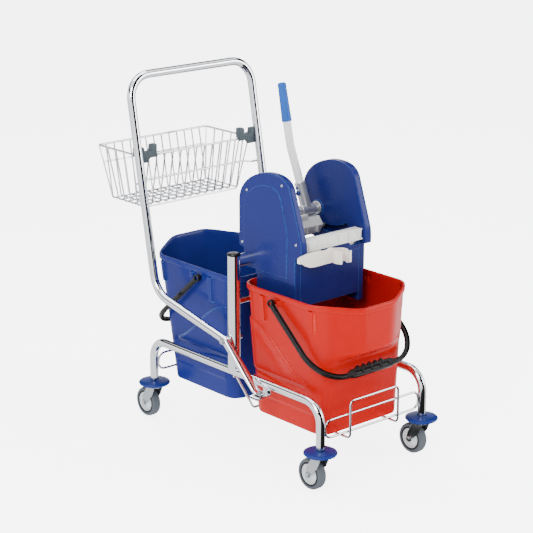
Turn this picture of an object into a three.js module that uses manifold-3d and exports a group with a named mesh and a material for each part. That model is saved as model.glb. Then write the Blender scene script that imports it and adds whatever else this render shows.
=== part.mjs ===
// Double-bucket mopping trolley with a press wringer, as a three.js scene graph.
// Units are millimetres. +X is across the trolley, -Y is the front, +Z is up.
import * as THREE from 'three';
import { mergeVertices } from 'three/addons/utils/BufferGeometryUtils.js';
import Module from 'manifold-3d';

const wasm = await Module();
wasm.setup();

// ---------------------------------------------------------------- driving dimensions
const GAP = 0.3;                 // assembly clearance between touching pieces
const ROUND = 14;                // sides of small round pieces

const TRACK = 350;               // left leg to right leg
const WHEELBASE = 652;           // front leg to rear leg
const RAIL_Z = 224;              // centre height of the side rails
const MIDDLE_Y = -6;             // posts, crossbars and hanger stand here
const FRAME = { outer: 11, bore: 9.4, bend: 52 };
const POST = { outer: 16, bore: 14.4, top: 528 };
const CAP = { rim: 17.2, head: 5, plug: 14 };
const UPPER_BAR_Z = 511;
const LOWER_BAR = { z: 406, radius: 8 };

const HANDLE = {
  x: TRACK / 2 + POST.outer + 12, outer: 11, bore: 9.4, sides: 12,
  topY: 374.6, topZ: 924.5, topBend: 62,
  elbowY: 274, elbowZ: 371, elbowBend: 70,
  kneeY: -4, kneeZ: 312, kneeBend: 34,
  footY: -138,
};
const TAB = { width: 28, thick: 3, drop: 24, reach: 15 };
const TONGUE = { width: 26, thick: 5, length: 34 };
const BOLT = { shank: 4, head: 7.5, headThick: 5, nutThick: 6 };

const LOOP = { wire: 3, top: 178, bottom: 133, round: 20 };
const CRADLE = { wire: 3, halfWidth: 82, z: 116, stopTop: 213, bend: 14 };
const HANGER = { wire: 3, halfSpan: 112, bend: 12 };

const WHEEL = { radius: 40, width: 24, rim: 30, bore: 4.3, trail: 28 };
const BUMPER = { radius: 42, thick: 14, z: 2 * WHEEL.radius + 22 };
const FORK = { plate: 2.5, gap: 1.4, topThick: 3, stem: 5.5, stemTop: 150 };

const BUCKET = {
  bottomHalfWidth: 136, rimHalfWidth: TRACK / 2 - POST.outer - 4, bottomBack: 28, bottomFront: 286,
  rimBack: 7, rimZ: 457, wall: 3, floor: 4, corner: 42, spoutFoot: 295, spoutTop: 335,
  bead: 5, beadHeight: 13, levels: [0.25, 0.51, 0.64, 0.8],
};
// Where each bucket's rim ends, how far its spout bows out and rises, and how far its bail reaches.
const RED_FRONT = { rim: 290, bow: 45, rise: -13, bail: 241 };
const BLUE_FRONT = { rim: 330, bow: 46, rise: 17, bail: 266 };
const RED_SHIFT = MIDDLE_Y + 10 - LOWER_BAR.radius;  // red bucket against the posts
const BLUE_SHIFT = MIDDLE_Y + 18;  // blue bucket, turned round, towards the handle
const BAIL = {
  pivotBack: 134, pivotZ: 433, halfSpan: BUCKET.rimHalfWidth + BUCKET.bead + 8,
  thick: 12, width: 6, corner: 88, droop: 41, eye: 9, pin: 5, gripHalf: 62, gripWidth: 25,
};

const BASKET = {
  rimHalf: HANDLE.x - 19, rimFront: 14, rimBack: 203, rimZ: 716, footHalf: HANDLE.x - 43, footInset: 27,
  depth: 141, wire: 2.1, rimWire: 2.8, ribsAcross: 9, ribsAlong: 3, braceDrop: 66,
};
const CLIP = { inner: HANDLE.x - 62, low: 701, shelf: 729, prong: 746, thick: 17 };

const WRINGER = {
  half: 118, cheek: 20, skin: 2.5, cover: 2.5, front: -168, wall: 3,
  legZ: 392, wallZ: 415, sillZ: 552, bandZ: 530, bandDepth: 4,
  coverZ: 470, pocketZ: 482, floorZ: 430, backTop: 492, rearY: 40,
};
const SHAFT = { y: -17, z: 606, radius: 9, flange: 17, flangeThick: 4, boss: 20, bossThick: 2 };
const GEAR = { module: 3, pinionTeeth: 22, sectorTeeth: 41, meshAngle: 27.6, toothed: 7, thick: 6 };
const LEVER = {
  x: 60, tube: 10.5, bore: 9, socket: 14, socketLength: 72, tilt: 22.5, bendAt: 170,
  topTilt: 12, bend: 60, gripStart: 60, gripLength: 99, gripLow: 12.5, gripHigh: 10.5,
};
const JAW = {
  half: 88, hangRadius: 130, hangAngle: 16.5, lug: 8, arm: 4, armHalf: 16.5 - SHAFT.radius, swing: 40.3,
};
const FRONT_JAW = { half: 95, inner: -151, outer: -181, top: 584, lip: 557, foot: 500 };
const HOLDER = { left: -134, right: -22, low: 522, high: 560, thick: 10, clip: 19, clipBore: 14 };

// ---------------------------------------------------------------- colours
const finish = (color, roughness, metalness) => ({ color, roughness, metalness });
const CHROME = finish(0xd8dadd, 0.12, 1.0);
const ZINC = finish(0xb9bdc2, 0.35, 0.9);
const BLACK_PLASTIC = finish(0x17181a, 0.5, 0.0);
const RED_PLASTIC = finish(0xdb3a2c, 0.4, 0.0);
const BLUE_PLASTIC = finish(0x2d5fa5, 0.4, 0.0);
const PRESS_BLUE = finish(0x2c3f8c, 0.35, 0.0);
const BUMPER_BLUE = finish(0x30509b, 0.45, 0.0);
const GRIP_BLUE = finish(0x5b86c3, 0.6, 0.0);
const WHITE_PLASTIC = finish(0xf0f0ee, 0.4, 0.0);
const CREAM_PLASTIC = finish(0xf5f0eb, 0.4, 0.0);
const WHITE_PAINT = finish(0xeeeef2, 0.25, 0.1);
const SLATE_PLASTIC = finish(0x5f696f, 0.5, 0.0);
const TYRE_GREY = finish(0x7d878c, 0.8, 0.0);
const GEAR_GREY = finish(0x8b9096, 0.5, 0.0);

// ---------------------------------------------------------------- solid modelling helpers
function toSolid(geometry) {
  const bare = geometry.index ? geometry.toNonIndexed() : geometry.clone();
  for (const name of Object.keys(bare.attributes)) {
    if (name !== 'position') bare.deleteAttribute(name);
  }
  const merged = mergeVertices(bare, 1e-4);
  const vertProperties = new Float32Array(merged.attributes.position.array);
  const triVerts = new Uint32Array(merged.index.array);
  return new wasm.Manifold(new wasm.Mesh({ numProp: 3, vertProperties, triVerts }));
}

function toGeometry(solid) {
  const mesh = solid.getMesh();
  const geometry = new THREE.BufferGeometry();
  geometry.setAttribute('position', new THREE.BufferAttribute(new Float32Array(mesh.vertProperties), 3));
  geometry.setIndex(new THREE.BufferAttribute(new Uint32Array(mesh.triVerts), 1));
  geometry.computeVertexNormals();
  return geometry;
}

const asSolid = (piece) => (piece.isBufferGeometry ? toSolid(piece) : piece);
const join = (first, ...rest) => rest.reduce((sum, piece) => sum.add(asSolid(piece)), asSolid(first));
const cut = (first, ...tools) => tools.reduce((rest, tool) => rest.subtract(asSolid(tool)), asSolid(first));

const group = new THREE.Group();
function add(name, piece, look) {
  const geometry = piece.isBufferGeometry ? piece : toGeometry(piece);
  const mesh = new THREE.Mesh(geometry, new THREE.MeshStandardMaterial(look));
  mesh.name = name;
  group.add(mesh);
}

// A block between two opposite corners.
function block(x0, y0, z0, x1, y1, z1) {
  const geometry = new THREE.BoxGeometry(Math.abs(x1 - x0), Math.abs(y1 - y0), Math.abs(z1 - z0));
  return geometry.translate((x0 + x1) / 2, (y0 + y1) / 2, (z0 + z1) / 2);
}

// Round rods and cones along each axis, from a low to a high end.
function rodZ(x, y, radius, z0, z1, topRadius = radius, sides = ROUND) {
  const geometry = new THREE.CylinderGeometry(topRadius, radius, z1 - z0, sides);
  return geometry.rotateX(Math.PI / 2).translate(x, y, (z0 + z1) / 2);
}
function rodX(y, z, radius, x0, x1, sides = ROUND) {
  const geometry = new THREE.CylinderGeometry(radius, radius, Math.abs(x1 - x0), sides);
  return geometry.rotateZ(Math.PI / 2).translate((x0 + x1) / 2, y, z);
}
function rodY(x, z, radius, y0, y1, sides = ROUND) {
  return new THREE.CylinderGeometry(radius, radius, y1 - y0, sides).translate(x, (y0 + y1) / 2, z);
}

// An outline in the Y-Z plane, extruded along X from x0 to x1.
const SIDE_VIEW = new THREE.Matrix4().set(0, 0, 1, 0, 1, 0, 0, 0, 0, 1, 0, 0, 0, 0, 0, 1);
function sidePlate(shape, x0, x1, curveSegments = 6) {
  const depth = Math.abs(x1 - x0);
  const plate = new THREE.ExtrudeGeometry(shape, { depth, bevelEnabled: false, curveSegments });
  return plate.applyMatrix4(SIDE_VIEW).translate(Math.min(x0, x1), 0, 0);
}
const outline = (...points) => new THREE.Shape(points.map(([a, b]) => new THREE.Vector2(a, b)));

// A space curve that passes a list of stations, with steps only where it bends.
class Route extends THREE.Curve {
  constructor(stations) {
    super();
    this.stations = stations;
  }
  getPoint(t, target = new THREE.Vector3()) {
    const last = this.stations.length - 1;
    const at = Math.min(Math.floor(t * last), last - 1);
    return target.lerpVectors(this.stations[at].point, this.stations[at + 1].point, t * last - at);
  }
  getSpacedPoints() {
    return this.stations.map((station) => station.point.clone());
  }
  getTangentAt(u, target = new THREE.Vector3()) {
    return target.copy(this.stations[Math.round(u * (this.stations.length - 1))].tangent);
  }
}

// Straight runs between corners, each corner rounded to its radius.
function bentRoute(corners, radii, turnSteps = 4) {
  const points = corners.map((corner) => new THREE.Vector3(...corner));
  const heading = (i) => points[i + 1].clone().sub(points[i]).normalize();
  const stations = [{ point: points[0], tangent: heading(0) }];
  for (let i = 1; i < points.length - 1; i++) {
    const into = heading(i - 1);
    const out = heading(i);
    const turn = into.angleTo(out);
    const radius = Array.isArray(radii) ? radii[i - 1] : radii;
    const setback = radius * Math.tan(turn / 2);
    const start = points[i].clone().addScaledVector(into, -setback);
    const side = out.clone().addScaledVector(into, -out.dot(into)).normalize();
    for (let k = 0; k <= turnSteps; k++) {
      const angle = (turn * k) / turnSteps;
      const point = start.clone().addScaledVector(into, radius * Math.sin(angle));
      point.addScaledVector(side, radius * (1 - Math.cos(angle)));
      const tangent = into.clone().multiplyScalar(Math.cos(angle)).addScaledVector(side, Math.sin(angle));
      stations.push({ point, tangent });
    }
  }
  stations.push({ point: points.at(-1), tangent: heading(points.length - 2) });
  return new Route(stations);
}

function sweep(route, shape, curveSegments = 12) {
  const steps = route.stations.length - 1;
  return new THREE.ExtrudeGeometry(shape, { extrudePath: route, steps, bevelEnabled: false, curveSegments });
}

function disc(radius, sides) {
  const points = [];
  for (let i = 0; i < sides; i++) {
    const angle = (2 * Math.PI * (i + 0.5)) / sides;
    points.push(new THREE.Vector2(radius * Math.cos(angle), radius * Math.sin(angle)));
  }
  return points;
}
function ring(outer, bore, outerSides = 12, boreSides = 8) {
  const shape = new THREE.Shape(disc(outer, outerSides));
  shape.holes.push(new THREE.Path(disc(bore, boreSides)));
  return shape;
}
const tube = (corners, size, bends, steps) =>
  sweep(bentRoute(corners, bends, steps), ring(size.outer, size.bore));
const wire = (corners, radius, bends, sides = 6, steps = 4) =>
  sweep(bentRoute(corners, bends, steps), new THREE.Shape(disc(radius, sides)));

// A round tube standing on Z.
function standingTube(x, y, outer, bore, z0, z1) {
  return cut(rodZ(x, y, outer, z0, z1), rodZ(x, y, bore, z0 - 1, z1 + 1, bore, 12));
}

// A bolt along X with a hexagon head outside and a nut inside.
function boltX(y, z, headX, nutX) {
  const out = Math.sign(headX - nutX);
  const shank = rodX(y, z, BOLT.shank, nutX - out * BOLT.nutThick, headX + out, 10);
  const head = rodX(y, z, BOLT.head, headX, headX + out * BOLT.headThick, 6);
  const nut = rodX(y, z, BOLT.head, nutX, nutX - out * BOLT.nutThick, 6);
  return join(shank, head, nut);
}

// ---------------------------------------------------------------- frame
const halfTrack = TRACK / 2;
const halfBase = WHEELBASE / 2;
const legFoot = BUMPER.z + BUMPER.thick / 2 + GAP;
const tabTop = RAIL_Z - TAB.drop + TAB.thick;

function sideFrame(side) {
  const x = side * halfTrack;
  const front = [[x, -halfBase, legFoot], [x, -halfBase, RAIL_Z]];
  const corners = [...front, [x, halfBase, RAIL_Z], [x, halfBase, legFoot]];
  const bentTube = tube(corners, FRAME, FRAME.bend, 4);
  const y0 = HANDLE.footY - TAB.width / 2;
  const y1 = HANDLE.footY + TAB.width / 2;
  const tabRoot = halfTrack + 5;
  const riser = block(side * tabRoot, y0, tabTop - TAB.thick, side * (tabRoot + TAB.thick), y1, RAIL_Z - 6);
  const shelf = block(side * tabRoot, y0, tabTop - TAB.thick, side * (HANDLE.x + TAB.reach), y1, tabTop);
  const boltHole = BOLT.shank + GAP;
  const hole = rodZ(side * HANDLE.x, HANDLE.footY, boltHole, tabTop - 10, tabTop + 10, boltHole, 10);
  return cut(join(bentTube, riser, shelf), hole);
}

function post(side) {
  const x = side * halfTrack;
  const body = standingTube(x, MIDDLE_Y, POST.outer, POST.bore, RAIL_Z + 6, POST.top);
  const saddle = rodY(x, RAIL_Z, FRAME.outer + GAP, MIDDLE_Y - 30, MIDDLE_Y + 30, 24);
  const boltHole = rodX(MIDDLE_Y, HANDLE.kneeZ, BOLT.shank + GAP, x - 25, x + 25, 10);
  return cut(body, saddle, boltHole);
}

function postCap(side) {
  const x = side * halfTrack;
  const seat = POST.top + GAP;
  const head = rodZ(x, MIDDLE_Y, CAP.rim, seat, seat + CAP.head, CAP.rim - 2);
  const plug = rodZ(x, MIDDLE_Y, POST.bore - 0.6, seat - CAP.plug, seat + 1, POST.bore - 0.6, 12);
  return join(head, plug);
}

// A cross tube whose ends are coped to the round posts.
function crossbar(z, outer, bore) {
  const span = halfTrack - 4;
  const solid = rodX(MIDDLE_Y, z, outer, -span, span);
  const hollow = bore ? [rodX(MIDDLE_Y, z, bore, -span - 1, span + 1, 12)] : [];
  const copes = [-1, 1].map((side) =>
    rodZ(side * halfTrack, MIDDLE_Y, POST.outer + GAP, z - outer - 5, z + outer + 5));
  return cut(solid, ...hollow, ...copes);
}

// The racetrack loops close the frame's ends just inside the legs.
function wireLoop(y) {
  const reach = halfTrack - FRAME.outer - LOOP.wire - GAP;
  const corners = [
    [GAP, y, LOOP.bottom], [reach, y, LOOP.bottom], [reach, y, LOOP.top],
    [-reach, y, LOOP.top], [-reach, y, LOOP.bottom], [-GAP, y, LOOP.bottom],
  ];
  return wire(corners, LOOP.wire, LOOP.round, 5, 3);
}

const loopY = halfBase;
const stopY = loopY + LOOP.wire + CRADLE.wire + GAP;
function bucketCradle() {
  const { halfWidth: w, z, stopTop } = CRADLE;
  const corners = [
    [-GAP, stopY, stopTop], [-w, stopY, stopTop], [-w, stopY, z], [-w, -stopY, z], [-w, -stopY, stopTop],
    [w, -stopY, stopTop], [w, -stopY, z], [w, stopY, z], [w, stopY, stopTop], [GAP, stopY, stopTop],
  ];
  return wire(corners, CRADLE.wire, CRADLE.bend, 5, 2);
}

function middleHanger() {
  const low = CRADLE.z - CRADLE.wire - HANGER.wire - GAP;
  const high = RAIL_Z - FRAME.outer - HANGER.wire - GAP;
  const end = halfTrack + 2;
  const corners = [
    [-end, MIDDLE_Y, high], [-halfTrack + 6, MIDDLE_Y, high], [-HANGER.halfSpan, MIDDLE_Y, low],
    [HANGER.halfSpan, MIDDLE_Y, low], [halfTrack - 6, MIDDLE_Y, high], [end, MIDDLE_Y, high],
  ];
  return wire(corners, HANGER.wire, [6, HANGER.bend, HANGER.bend, 6], 5, 2);
}

// ---------------------------------------------------------------- push handle
const tongueZ = tabTop + GAP + TONGUE.thick / 2;
function pushHandle() {
  const corners = [];
  for (const side of [-1, 1]) {
    const run = [
      [side * HANDLE.x, HANDLE.footY + TONGUE.length / 2, tongueZ + 6],
      [side * HANDLE.x, HANDLE.kneeY, HANDLE.kneeZ],
      [side * HANDLE.x, HANDLE.elbowY, HANDLE.elbowZ],
      [side * HANDLE.x, HANDLE.topY, HANDLE.topZ],
    ];
    corners.push(...(side < 0 ? run : run.reverse()));
  }
  const { kneeBend, elbowBend, topBend } = HANDLE;
  const bends = [kneeBend, elbowBend, topBend, topBend, elbowBend, kneeBend];
  let body = toSolid(tube(corners, HANDLE, bends, 3));
  for (const side of [-1, 1]) {
    const x = side * HANDLE.x;
    const halfWidth = TONGUE.width / 2;
    const y0 = HANDLE.footY - TONGUE.length / 2;
    const flat = block(x - halfWidth, y0, tongueZ - TONGUE.thick / 2,
      x + halfWidth, y0 + TONGUE.length + 6, tongueZ + TONGUE.thick / 2);
    body = join(body, flat);
    const boltHole = BOLT.shank + GAP;
    const tabHole = rodZ(x, HANDLE.footY, boltHole, tongueZ - 10, tongueZ + 10, boltHole, 10);
    const postHole = rodX(MIDDLE_Y, HANDLE.kneeZ, BOLT.shank + GAP, x - 20, x + 20, 10);
    body = cut(body, tabHole, postHole);
  }
  return body;
}

function postBolt(side) {
  const head = side * (HANDLE.x + HANDLE.outer + GAP);
  const nut = side * (halfTrack - POST.outer - GAP);
  return boltX(MIDDLE_Y, HANDLE.kneeZ, head, nut);
}

function tabBolt(side) {
  const x = side * HANDLE.x;
  const y = HANDLE.footY;
  const top = tongueZ + TONGUE.thick / 2 + GAP;
  const under = tabTop - TAB.thick - GAP;
  const shank = rodZ(x, y, BOLT.shank, under - BOLT.nutThick, top + 1, BOLT.shank, 10);
  const head = rodZ(x, y, BOLT.head, top, top + BOLT.headThick, BOLT.head, 6);
  const nut = rodZ(x, y, BOLT.head, under - BOLT.nutThick, under, BOLT.head, 6);
  return join(shank, head, nut);
}

// ---------------------------------------------------------------- swivel casters
function lathe(profile, sides = 16) {
  const points = profile.map(([radius, height]) => new THREE.Vector2(radius, height));
  return new THREE.LatheGeometry([...points, points[0]], sides);
}

function bumper(x, y) {
  const { radius, thick } = BUMPER;
  const half = thick / 2;
  const bore = FORK.stem + GAP;
  const under = [[bore, -half], [radius - 8, -half], [radius, -1]];
  const profile = [...under, [radius - 3, 4], [17, half], [bore, half]];
  return lathe(profile).rotateX(Math.PI / 2).translate(x, y, BUMPER.z);
}

const forkTop = BUMPER.z - BUMPER.thick / 2 - GAP;
const forkInside = WHEEL.width / 2 + FORK.gap;
function casterFork(x, y) {
  const axleY = WHEEL.trail;
  const axleZ = WHEEL.radius;
  const blade = outline([-15, forkTop], [-15, forkTop - 7], [-10, axleZ + 22],
    [axleY - 13, axleZ + 4], [axleY - 9, axleZ - 6],
    [axleY, axleZ - 10], [axleY + 9, axleZ - 5], [axleY + 9, axleZ + 8], [19, forkTop - 23], [19, forkTop]);
  const outside = forkInside + FORK.plate;
  const blades = [-1, 1].map((side) => sidePlate(blade, side * forkInside, side * outside));
  const crown = block(-outside, -15, forkTop - FORK.topThick, outside, 19, forkTop);
  const stem = rodZ(0, 0, FORK.stem, forkTop - 1, FORK.stemTop, FORK.stem, 12);
  const axleHole = rodX(axleY, axleZ, WHEEL.bore, -40, 40, 12);
  return cut(join(crown, ...blades, stem), axleHole).translate([x, y, 0]);
}

function casterAxle(x, y) {
  const outside = forkInside + FORK.plate + GAP;
  const radius = WHEEL.bore - GAP;
  const shank = rodX(WHEEL.trail, WHEEL.radius, radius, -outside - 4, outside + 4, 12);
  const ends = [-1, 1].map((side) =>
    rodX(WHEEL.trail, WHEEL.radius, radius + 2.6, side * outside, side * (outside + 4), 6));
  return join(shank, ...ends).translate([x, y, 0]);
}

function wheelHub(x, y) {
  const half = WHEEL.width / 2 - 1;
  const { rim, bore } = WHEEL;
  const profile = [[bore, -half - 0.6], [10, -half - 0.6], [12, -half + 3], [rim, -half + 1],
    [rim, half - 1], [12, half - 3], [10, half + 0.6], [bore, half + 0.6]];
  return lathe(profile, 12).rotateZ(-Math.PI / 2).translate(x, y + WHEEL.trail, WHEEL.radius);
}

// The tread is a ring of flats, with one of them lying on the floor.
const TREAD_FLATS = 20;
function wheelTyre(x, y) {
  const half = WHEEL.width / 2;
  const seat = WHEEL.rim + 3 * GAP;
  const radius = WHEEL.radius / Math.cos(Math.PI / TREAD_FLATS);
  const profile = [
    [seat, -half], [radius - 4, -half], [radius, -half + 5], [radius, half - 5], [radius - 4, half],
    [seat, half]];
  const tyre = lathe(profile, TREAD_FLATS).rotateY(Math.PI / TREAD_FLATS).rotateZ(-Math.PI / 2);
  return tyre.translate(x, y + WHEEL.trail, WHEEL.radius);
}

// ---------------------------------------------------------------- buckets and bails
const bucketFloor = CRADLE.z + CRADLE.wire + GAP;
const smooth = (value) => {
  const t = Math.min(Math.max(value, 0), 1);
  return t * t * (3 - 2 * t);
};

// A rounded rectangle from -1 to 1 across and 0 (back) to 1 (spout end) along.
function bucketOutline(front, inset) {
  const w = BUCKET.rimHalfWidth - inset;
  const back = -BUCKET.rimBack - inset;
  const frontY = -front.rim + inset;
  const r = BUCKET.corner - inset;
  const shape = new THREE.Shape();
  const spread = [0, 0.5, 1];
  const side = spread.map((t) => THREE.MathUtils.lerp(back - r, frontY + r, t));
  const end = [-0.55, -0.28, 0, 0.28, 0.55].map((t) => t * w);
  shape.moveTo(-(w - r), back);
  for (const x of end) shape.lineTo(x, back);
  shape.lineTo(w - r, back);
  shape.absarc(w - r, back - r, r, Math.PI / 2, 0, true);
  for (const y of side) shape.lineTo(w, y);
  shape.absarc(w - r, frontY + r, r, 0, -Math.PI / 2, true);
  for (const x of end.toReversed()) shape.lineTo(x, frontY);
  shape.absarc(-(w - r), frontY + r, r, -Math.PI / 2, -Math.PI, true);
  for (const y of side.toReversed()) shape.lineTo(-w, y);
  shape.absarc(-(w - r), back - r, r, Math.PI, Math.PI / 2, true);
  return shape;
}

// Moves a point of the straight-sided blank onto the tapered, bow-fronted bucket.
function shapeBucketPoint(point, front) {
  const { x, y, z } = point;
  const rise = (z - bucketFloor) / (BUCKET.rimZ - bucketFloor);
  const along = (y + BUCKET.rimBack) / (BUCKET.rimBack - front.rim);
  const across = x / BUCKET.rimHalfWidth;
  const widthHere = THREE.MathUtils.lerp(BUCKET.bottomHalfWidth, BUCKET.rimHalfWidth, rise);
  const backHere = THREE.MathUtils.lerp(BUCKET.bottomBack, BUCKET.rimBack, rise);
  const frontHere = THREE.MathUtils.lerp(BUCKET.bottomFront, front.rim, rise);
  const bowed = smooth((1 - Math.abs(across)) / 0.9) * smooth((along - 0.55) / 0.45);
  const bowHere = front.bow * bowed * smooth((z - BUCKET.spoutFoot) / (BUCKET.spoutTop - BUCKET.spoutFoot));
  const lift = front.rise * bowed * smooth((z - BUCKET.spoutTop) / 100);
  point.x = across * widthHere;
  point.y = -THREE.MathUtils.lerp(backHere, frontHere, along) - bowHere;
  point.z = z + lift;
}

function bucketBlank(front, inset, low, high, between) {
  const height = BUCKET.rimZ - bucketFloor;
  const heights = [low, ...between.map((level) => bucketFloor + level * height), high];
  const steps = heights.length - 1;
  const options = { depth: steps, steps, bevelEnabled: false, curveSegments: 3 };
  const geometry = new THREE.ExtrudeGeometry(bucketOutline(front, inset), options);
  const position = geometry.attributes.position;
  const point = new THREE.Vector3();
  for (let i = 0; i < position.count; i++) {
    point.fromBufferAttribute(position, i);
    point.z = heights[Math.round(point.z)];
    shapeBucketPoint(point, front);
    position.setXYZ(i, point.x, point.y, point.z);
  }
  return toSolid(geometry);
}

function bucket(front) {
  const top = BUCKET.rimZ;
  const outer = bucketBlank(front, 0, bucketFloor, top, BUCKET.levels);
  const bead = bucketBlank(front, -BUCKET.bead, top - BUCKET.beadHeight, top, []);
  const inside = bucketBlank(front, BUCKET.wall, bucketFloor + BUCKET.floor, top + 12, BUCKET.levels);
  const pinEnd = BAIL.halfSpan + BAIL.thick / 2 + 2;
  const bosses = [-1, 1].map((side) =>
    rodX(-BAIL.pivotBack, BAIL.pivotZ, BAIL.pin, side * (BUCKET.rimHalfWidth - 8), side * pinEnd, 12));
  return cut(join(outer, bead, ...bosses), inside);
}

// The bail is a flat U that hangs forward from its two eyes, with a wide hand grip.
function bail(reach) {
  const { halfSpan: s, thick, width, corner, eye, pin, gripHalf, gripWidth } = BAIL;
  const halfThick = thick / 2;
  const route = bentRoute([[-s, 0, 0], [-s, -reach, 0], [s, -reach, 0], [s, 0, 0]], corner, 5);
  const section = outline([-width / 2, -halfThick], [width / 2, -halfThick], [width / 2, halfThick],
    [-width / 2, halfThick]);
  const strap = toSolid(sweep(route, section));
  const gripBack = -reach - gripWidth / 2;
  const grip = block(-gripHalf, gripBack, -width / 2, gripHalf, gripBack + gripWidth, width / 2);
  const eyes = [-1, 1].map((side) => rodX(0, 0, eye, side * (s - halfThick), side * (s + halfThick), 12));
  const bores = [-1, 1].map((side) => rodX(0, 0, pin + GAP, side * (s - thick), side * (s + thick), 12));
  const flat = cut(join(strap, grip, ...eyes), ...bores);
  return flat.rotate([BAIL.droop, 0, 0]).translate([0, -BAIL.pivotBack, BAIL.pivotZ]);
}

const placeRed = (solid) => solid.translate([0, RED_SHIFT, 0]);
const placeBlue = (solid) => solid.rotate([0, 0, 180]).translate([0, BLUE_SHIFT, 0]);

// ---------------------------------------------------------------- wire basket
const handleLean = (HANDLE.topY - HANDLE.elbowY) / (HANDLE.topZ - HANDLE.elbowZ);
const handleYAt = (z) => HANDLE.elbowY + handleLean * (z - HANDLE.elbowZ);

function wireBasket() {
  const rimY0 = handleYAt(BASKET.rimZ) + BASKET.rimFront;
  const rimY1 = handleYAt(BASKET.rimZ) + BASKET.rimBack;
  const footY0 = rimY0 + BASKET.footInset;
  const footY1 = rimY1 - BASKET.footInset;
  const footZ = BASKET.rimZ - BASKET.depth;
  const { rimHalf, footHalf, wire: r, rimWire } = BASKET;
  const straight = (a, b, radius, sides = 4) => toSolid(wire([a, b], radius, 0, sides));
  const pieces = [];
  const corners = [[-rimHalf, rimY0], [rimHalf, rimY0], [rimHalf, rimY1], [-rimHalf, rimY1]];
  corners.forEach(([x, y], i) => {
    const [nextX, nextY] = corners[(i + 1) % 4];
    const overX = Math.sign(nextX - x) * rimWire;
    const overY = Math.sign(nextY - y) * rimWire;
    const end = [nextX + overX, nextY + overY, BASKET.rimZ];
    pieces.push(straight([x - overX, y - overY, BASKET.rimZ], end, rimWire));
  });
  const rib = (a, b, c, d, drop) => {
    const low = (point) => [point[0], point[1], point[2] - drop];
    pieces.push(toSolid(wire([a, low(b), low(c), d], r, 6, 4, 1)));
  };
  for (let i = 0; i < BASKET.ribsAcross; i++) {
    const t = THREE.MathUtils.lerp(-1, 1, i / (BASKET.ribsAcross - 1));
    rib([t * rimHalf, rimY0, BASKET.rimZ], [t * footHalf, footY0, footZ], [t * footHalf, footY1, footZ],
      [t * rimHalf, rimY1, BASKET.rimZ], 0);
  }
  for (let i = 0; i < BASKET.ribsAlong; i++) {
    const t = i / (BASKET.ribsAlong - 1);
    const rimY = THREE.MathUtils.lerp(rimY0, rimY1, t);
    const footY = THREE.MathUtils.lerp(footY0, footY1, t);
    rib([-rimHalf, rimY, BASKET.rimZ], [-footHalf, footY, footZ], [footHalf, footY, footZ],
      [rimHalf, rimY, BASKET.rimZ], 1.6 * r);
  }
  const braceZ = BASKET.rimZ - BASKET.braceDrop;
  const braceY = handleYAt(braceZ) + HANDLE.outer / Math.cos(Math.atan(handleLean)) + rimWire + GAP;
  const sideReach = HANDLE.x + HANDLE.outer;
  const bendIn = THREE.MathUtils.lerp(rimHalf, footHalf, BASKET.braceDrop / BASKET.depth) + 8;
  const ribY = THREE.MathUtils.lerp(rimY0, footY0, BASKET.braceDrop / BASKET.depth) - r;
  const left = [[-sideReach, braceY, braceZ], [-bendIn, braceY, braceZ], [-bendIn + 14, ribY, braceZ]];
  const right = left.map(([x, y, z]) => [-x, y, z]).reverse();
  pieces.push(toSolid(wire([...left, ...right], rimWire, 3, 4, 1)));
  return wasm.Manifold.union(pieces);
}

// A clip reaches from the handle tube to the basket rim, which lies in its notch.
function basketClip(side) {
  const y0 = handleYAt(BASKET.rimZ) + BASKET.rimFront;
  const outer = HANDLE.x + 4;
  const { inner, low, shelf, prong, thick } = CLIP;
  const plate = new THREE.Shape([[inner, low + 11], [inner + 22, low + 11], [inner + 30, low], [outer, low],
    [outer, prong - 4], [outer - 24, prong - 4], [outer - 26, shelf], [inner + 17, shelf],
    [inner + 15, prong], [inner, prong]].map(([x, z]) => new THREE.Vector2(x, z)));
  const body = new THREE.ExtrudeGeometry(plate, { depth: thick, bevelEnabled: false });
  body.rotateX(Math.PI / 2).translate(0, y0 + thick * 0.4, 0);
  const onHandle = (z) => [HANDLE.x, handleYAt(z), z];
  const handle = bentRoute([onHandle(low - 60), onHandle(prong + 60)], 0);
  const tubeRoom = sweep(handle, new THREE.Shape(disc(HANDLE.outer + GAP + 0.4, 16)));
  const rimRoom = block(0, y0 - BASKET.rimWire - GAP, BASKET.rimZ - BASKET.rimWire - GAP,
    outer + 9, y0 + 30, BASKET.rimZ + BASKET.rimWire + GAP);
  const ribRoom = block(0, y0 - BASKET.rimWire - GAP, low - 1, outer + 9, y0 + 30, BASKET.rimZ);
  const solid = cut(body, tubeRoom, rimRoom, ribRoom);
  return side > 0 ? solid : solid.mirror([1, 0, 0]);
}

// ---------------------------------------------------------------- press wringer
const meshDirection = THREE.MathUtils.degToRad(GEAR.meshAngle);
const pinionRadius = (GEAR.module * GEAR.pinionTeeth) / 2;
const sectorRadius = (GEAR.module * GEAR.sectorTeeth) / 2;
const centres = pinionRadius + sectorRadius;
const PIVOT = {
  y: SHAFT.y - centres * Math.sin(meshDirection),
  z: SHAFT.z + centres * Math.cos(meshDirection),
  radius: 6,
};
const hang = THREE.MathUtils.degToRad(JAW.hangAngle);
const JAW_LUG = {
  y: PIVOT.y + JAW.hangRadius * Math.sin(hang),
  z: PIVOT.z - JAW.hangRadius * Math.cos(hang),
};
const cheekInner = WRINGER.half - WRINGER.cheek;
const cheekOuter = WRINGER.half - WRINGER.cover;
const barSeat = POST.outer + GAP;
const rearFace = MIDDLE_Y - barSeat - 0.7;

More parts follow.
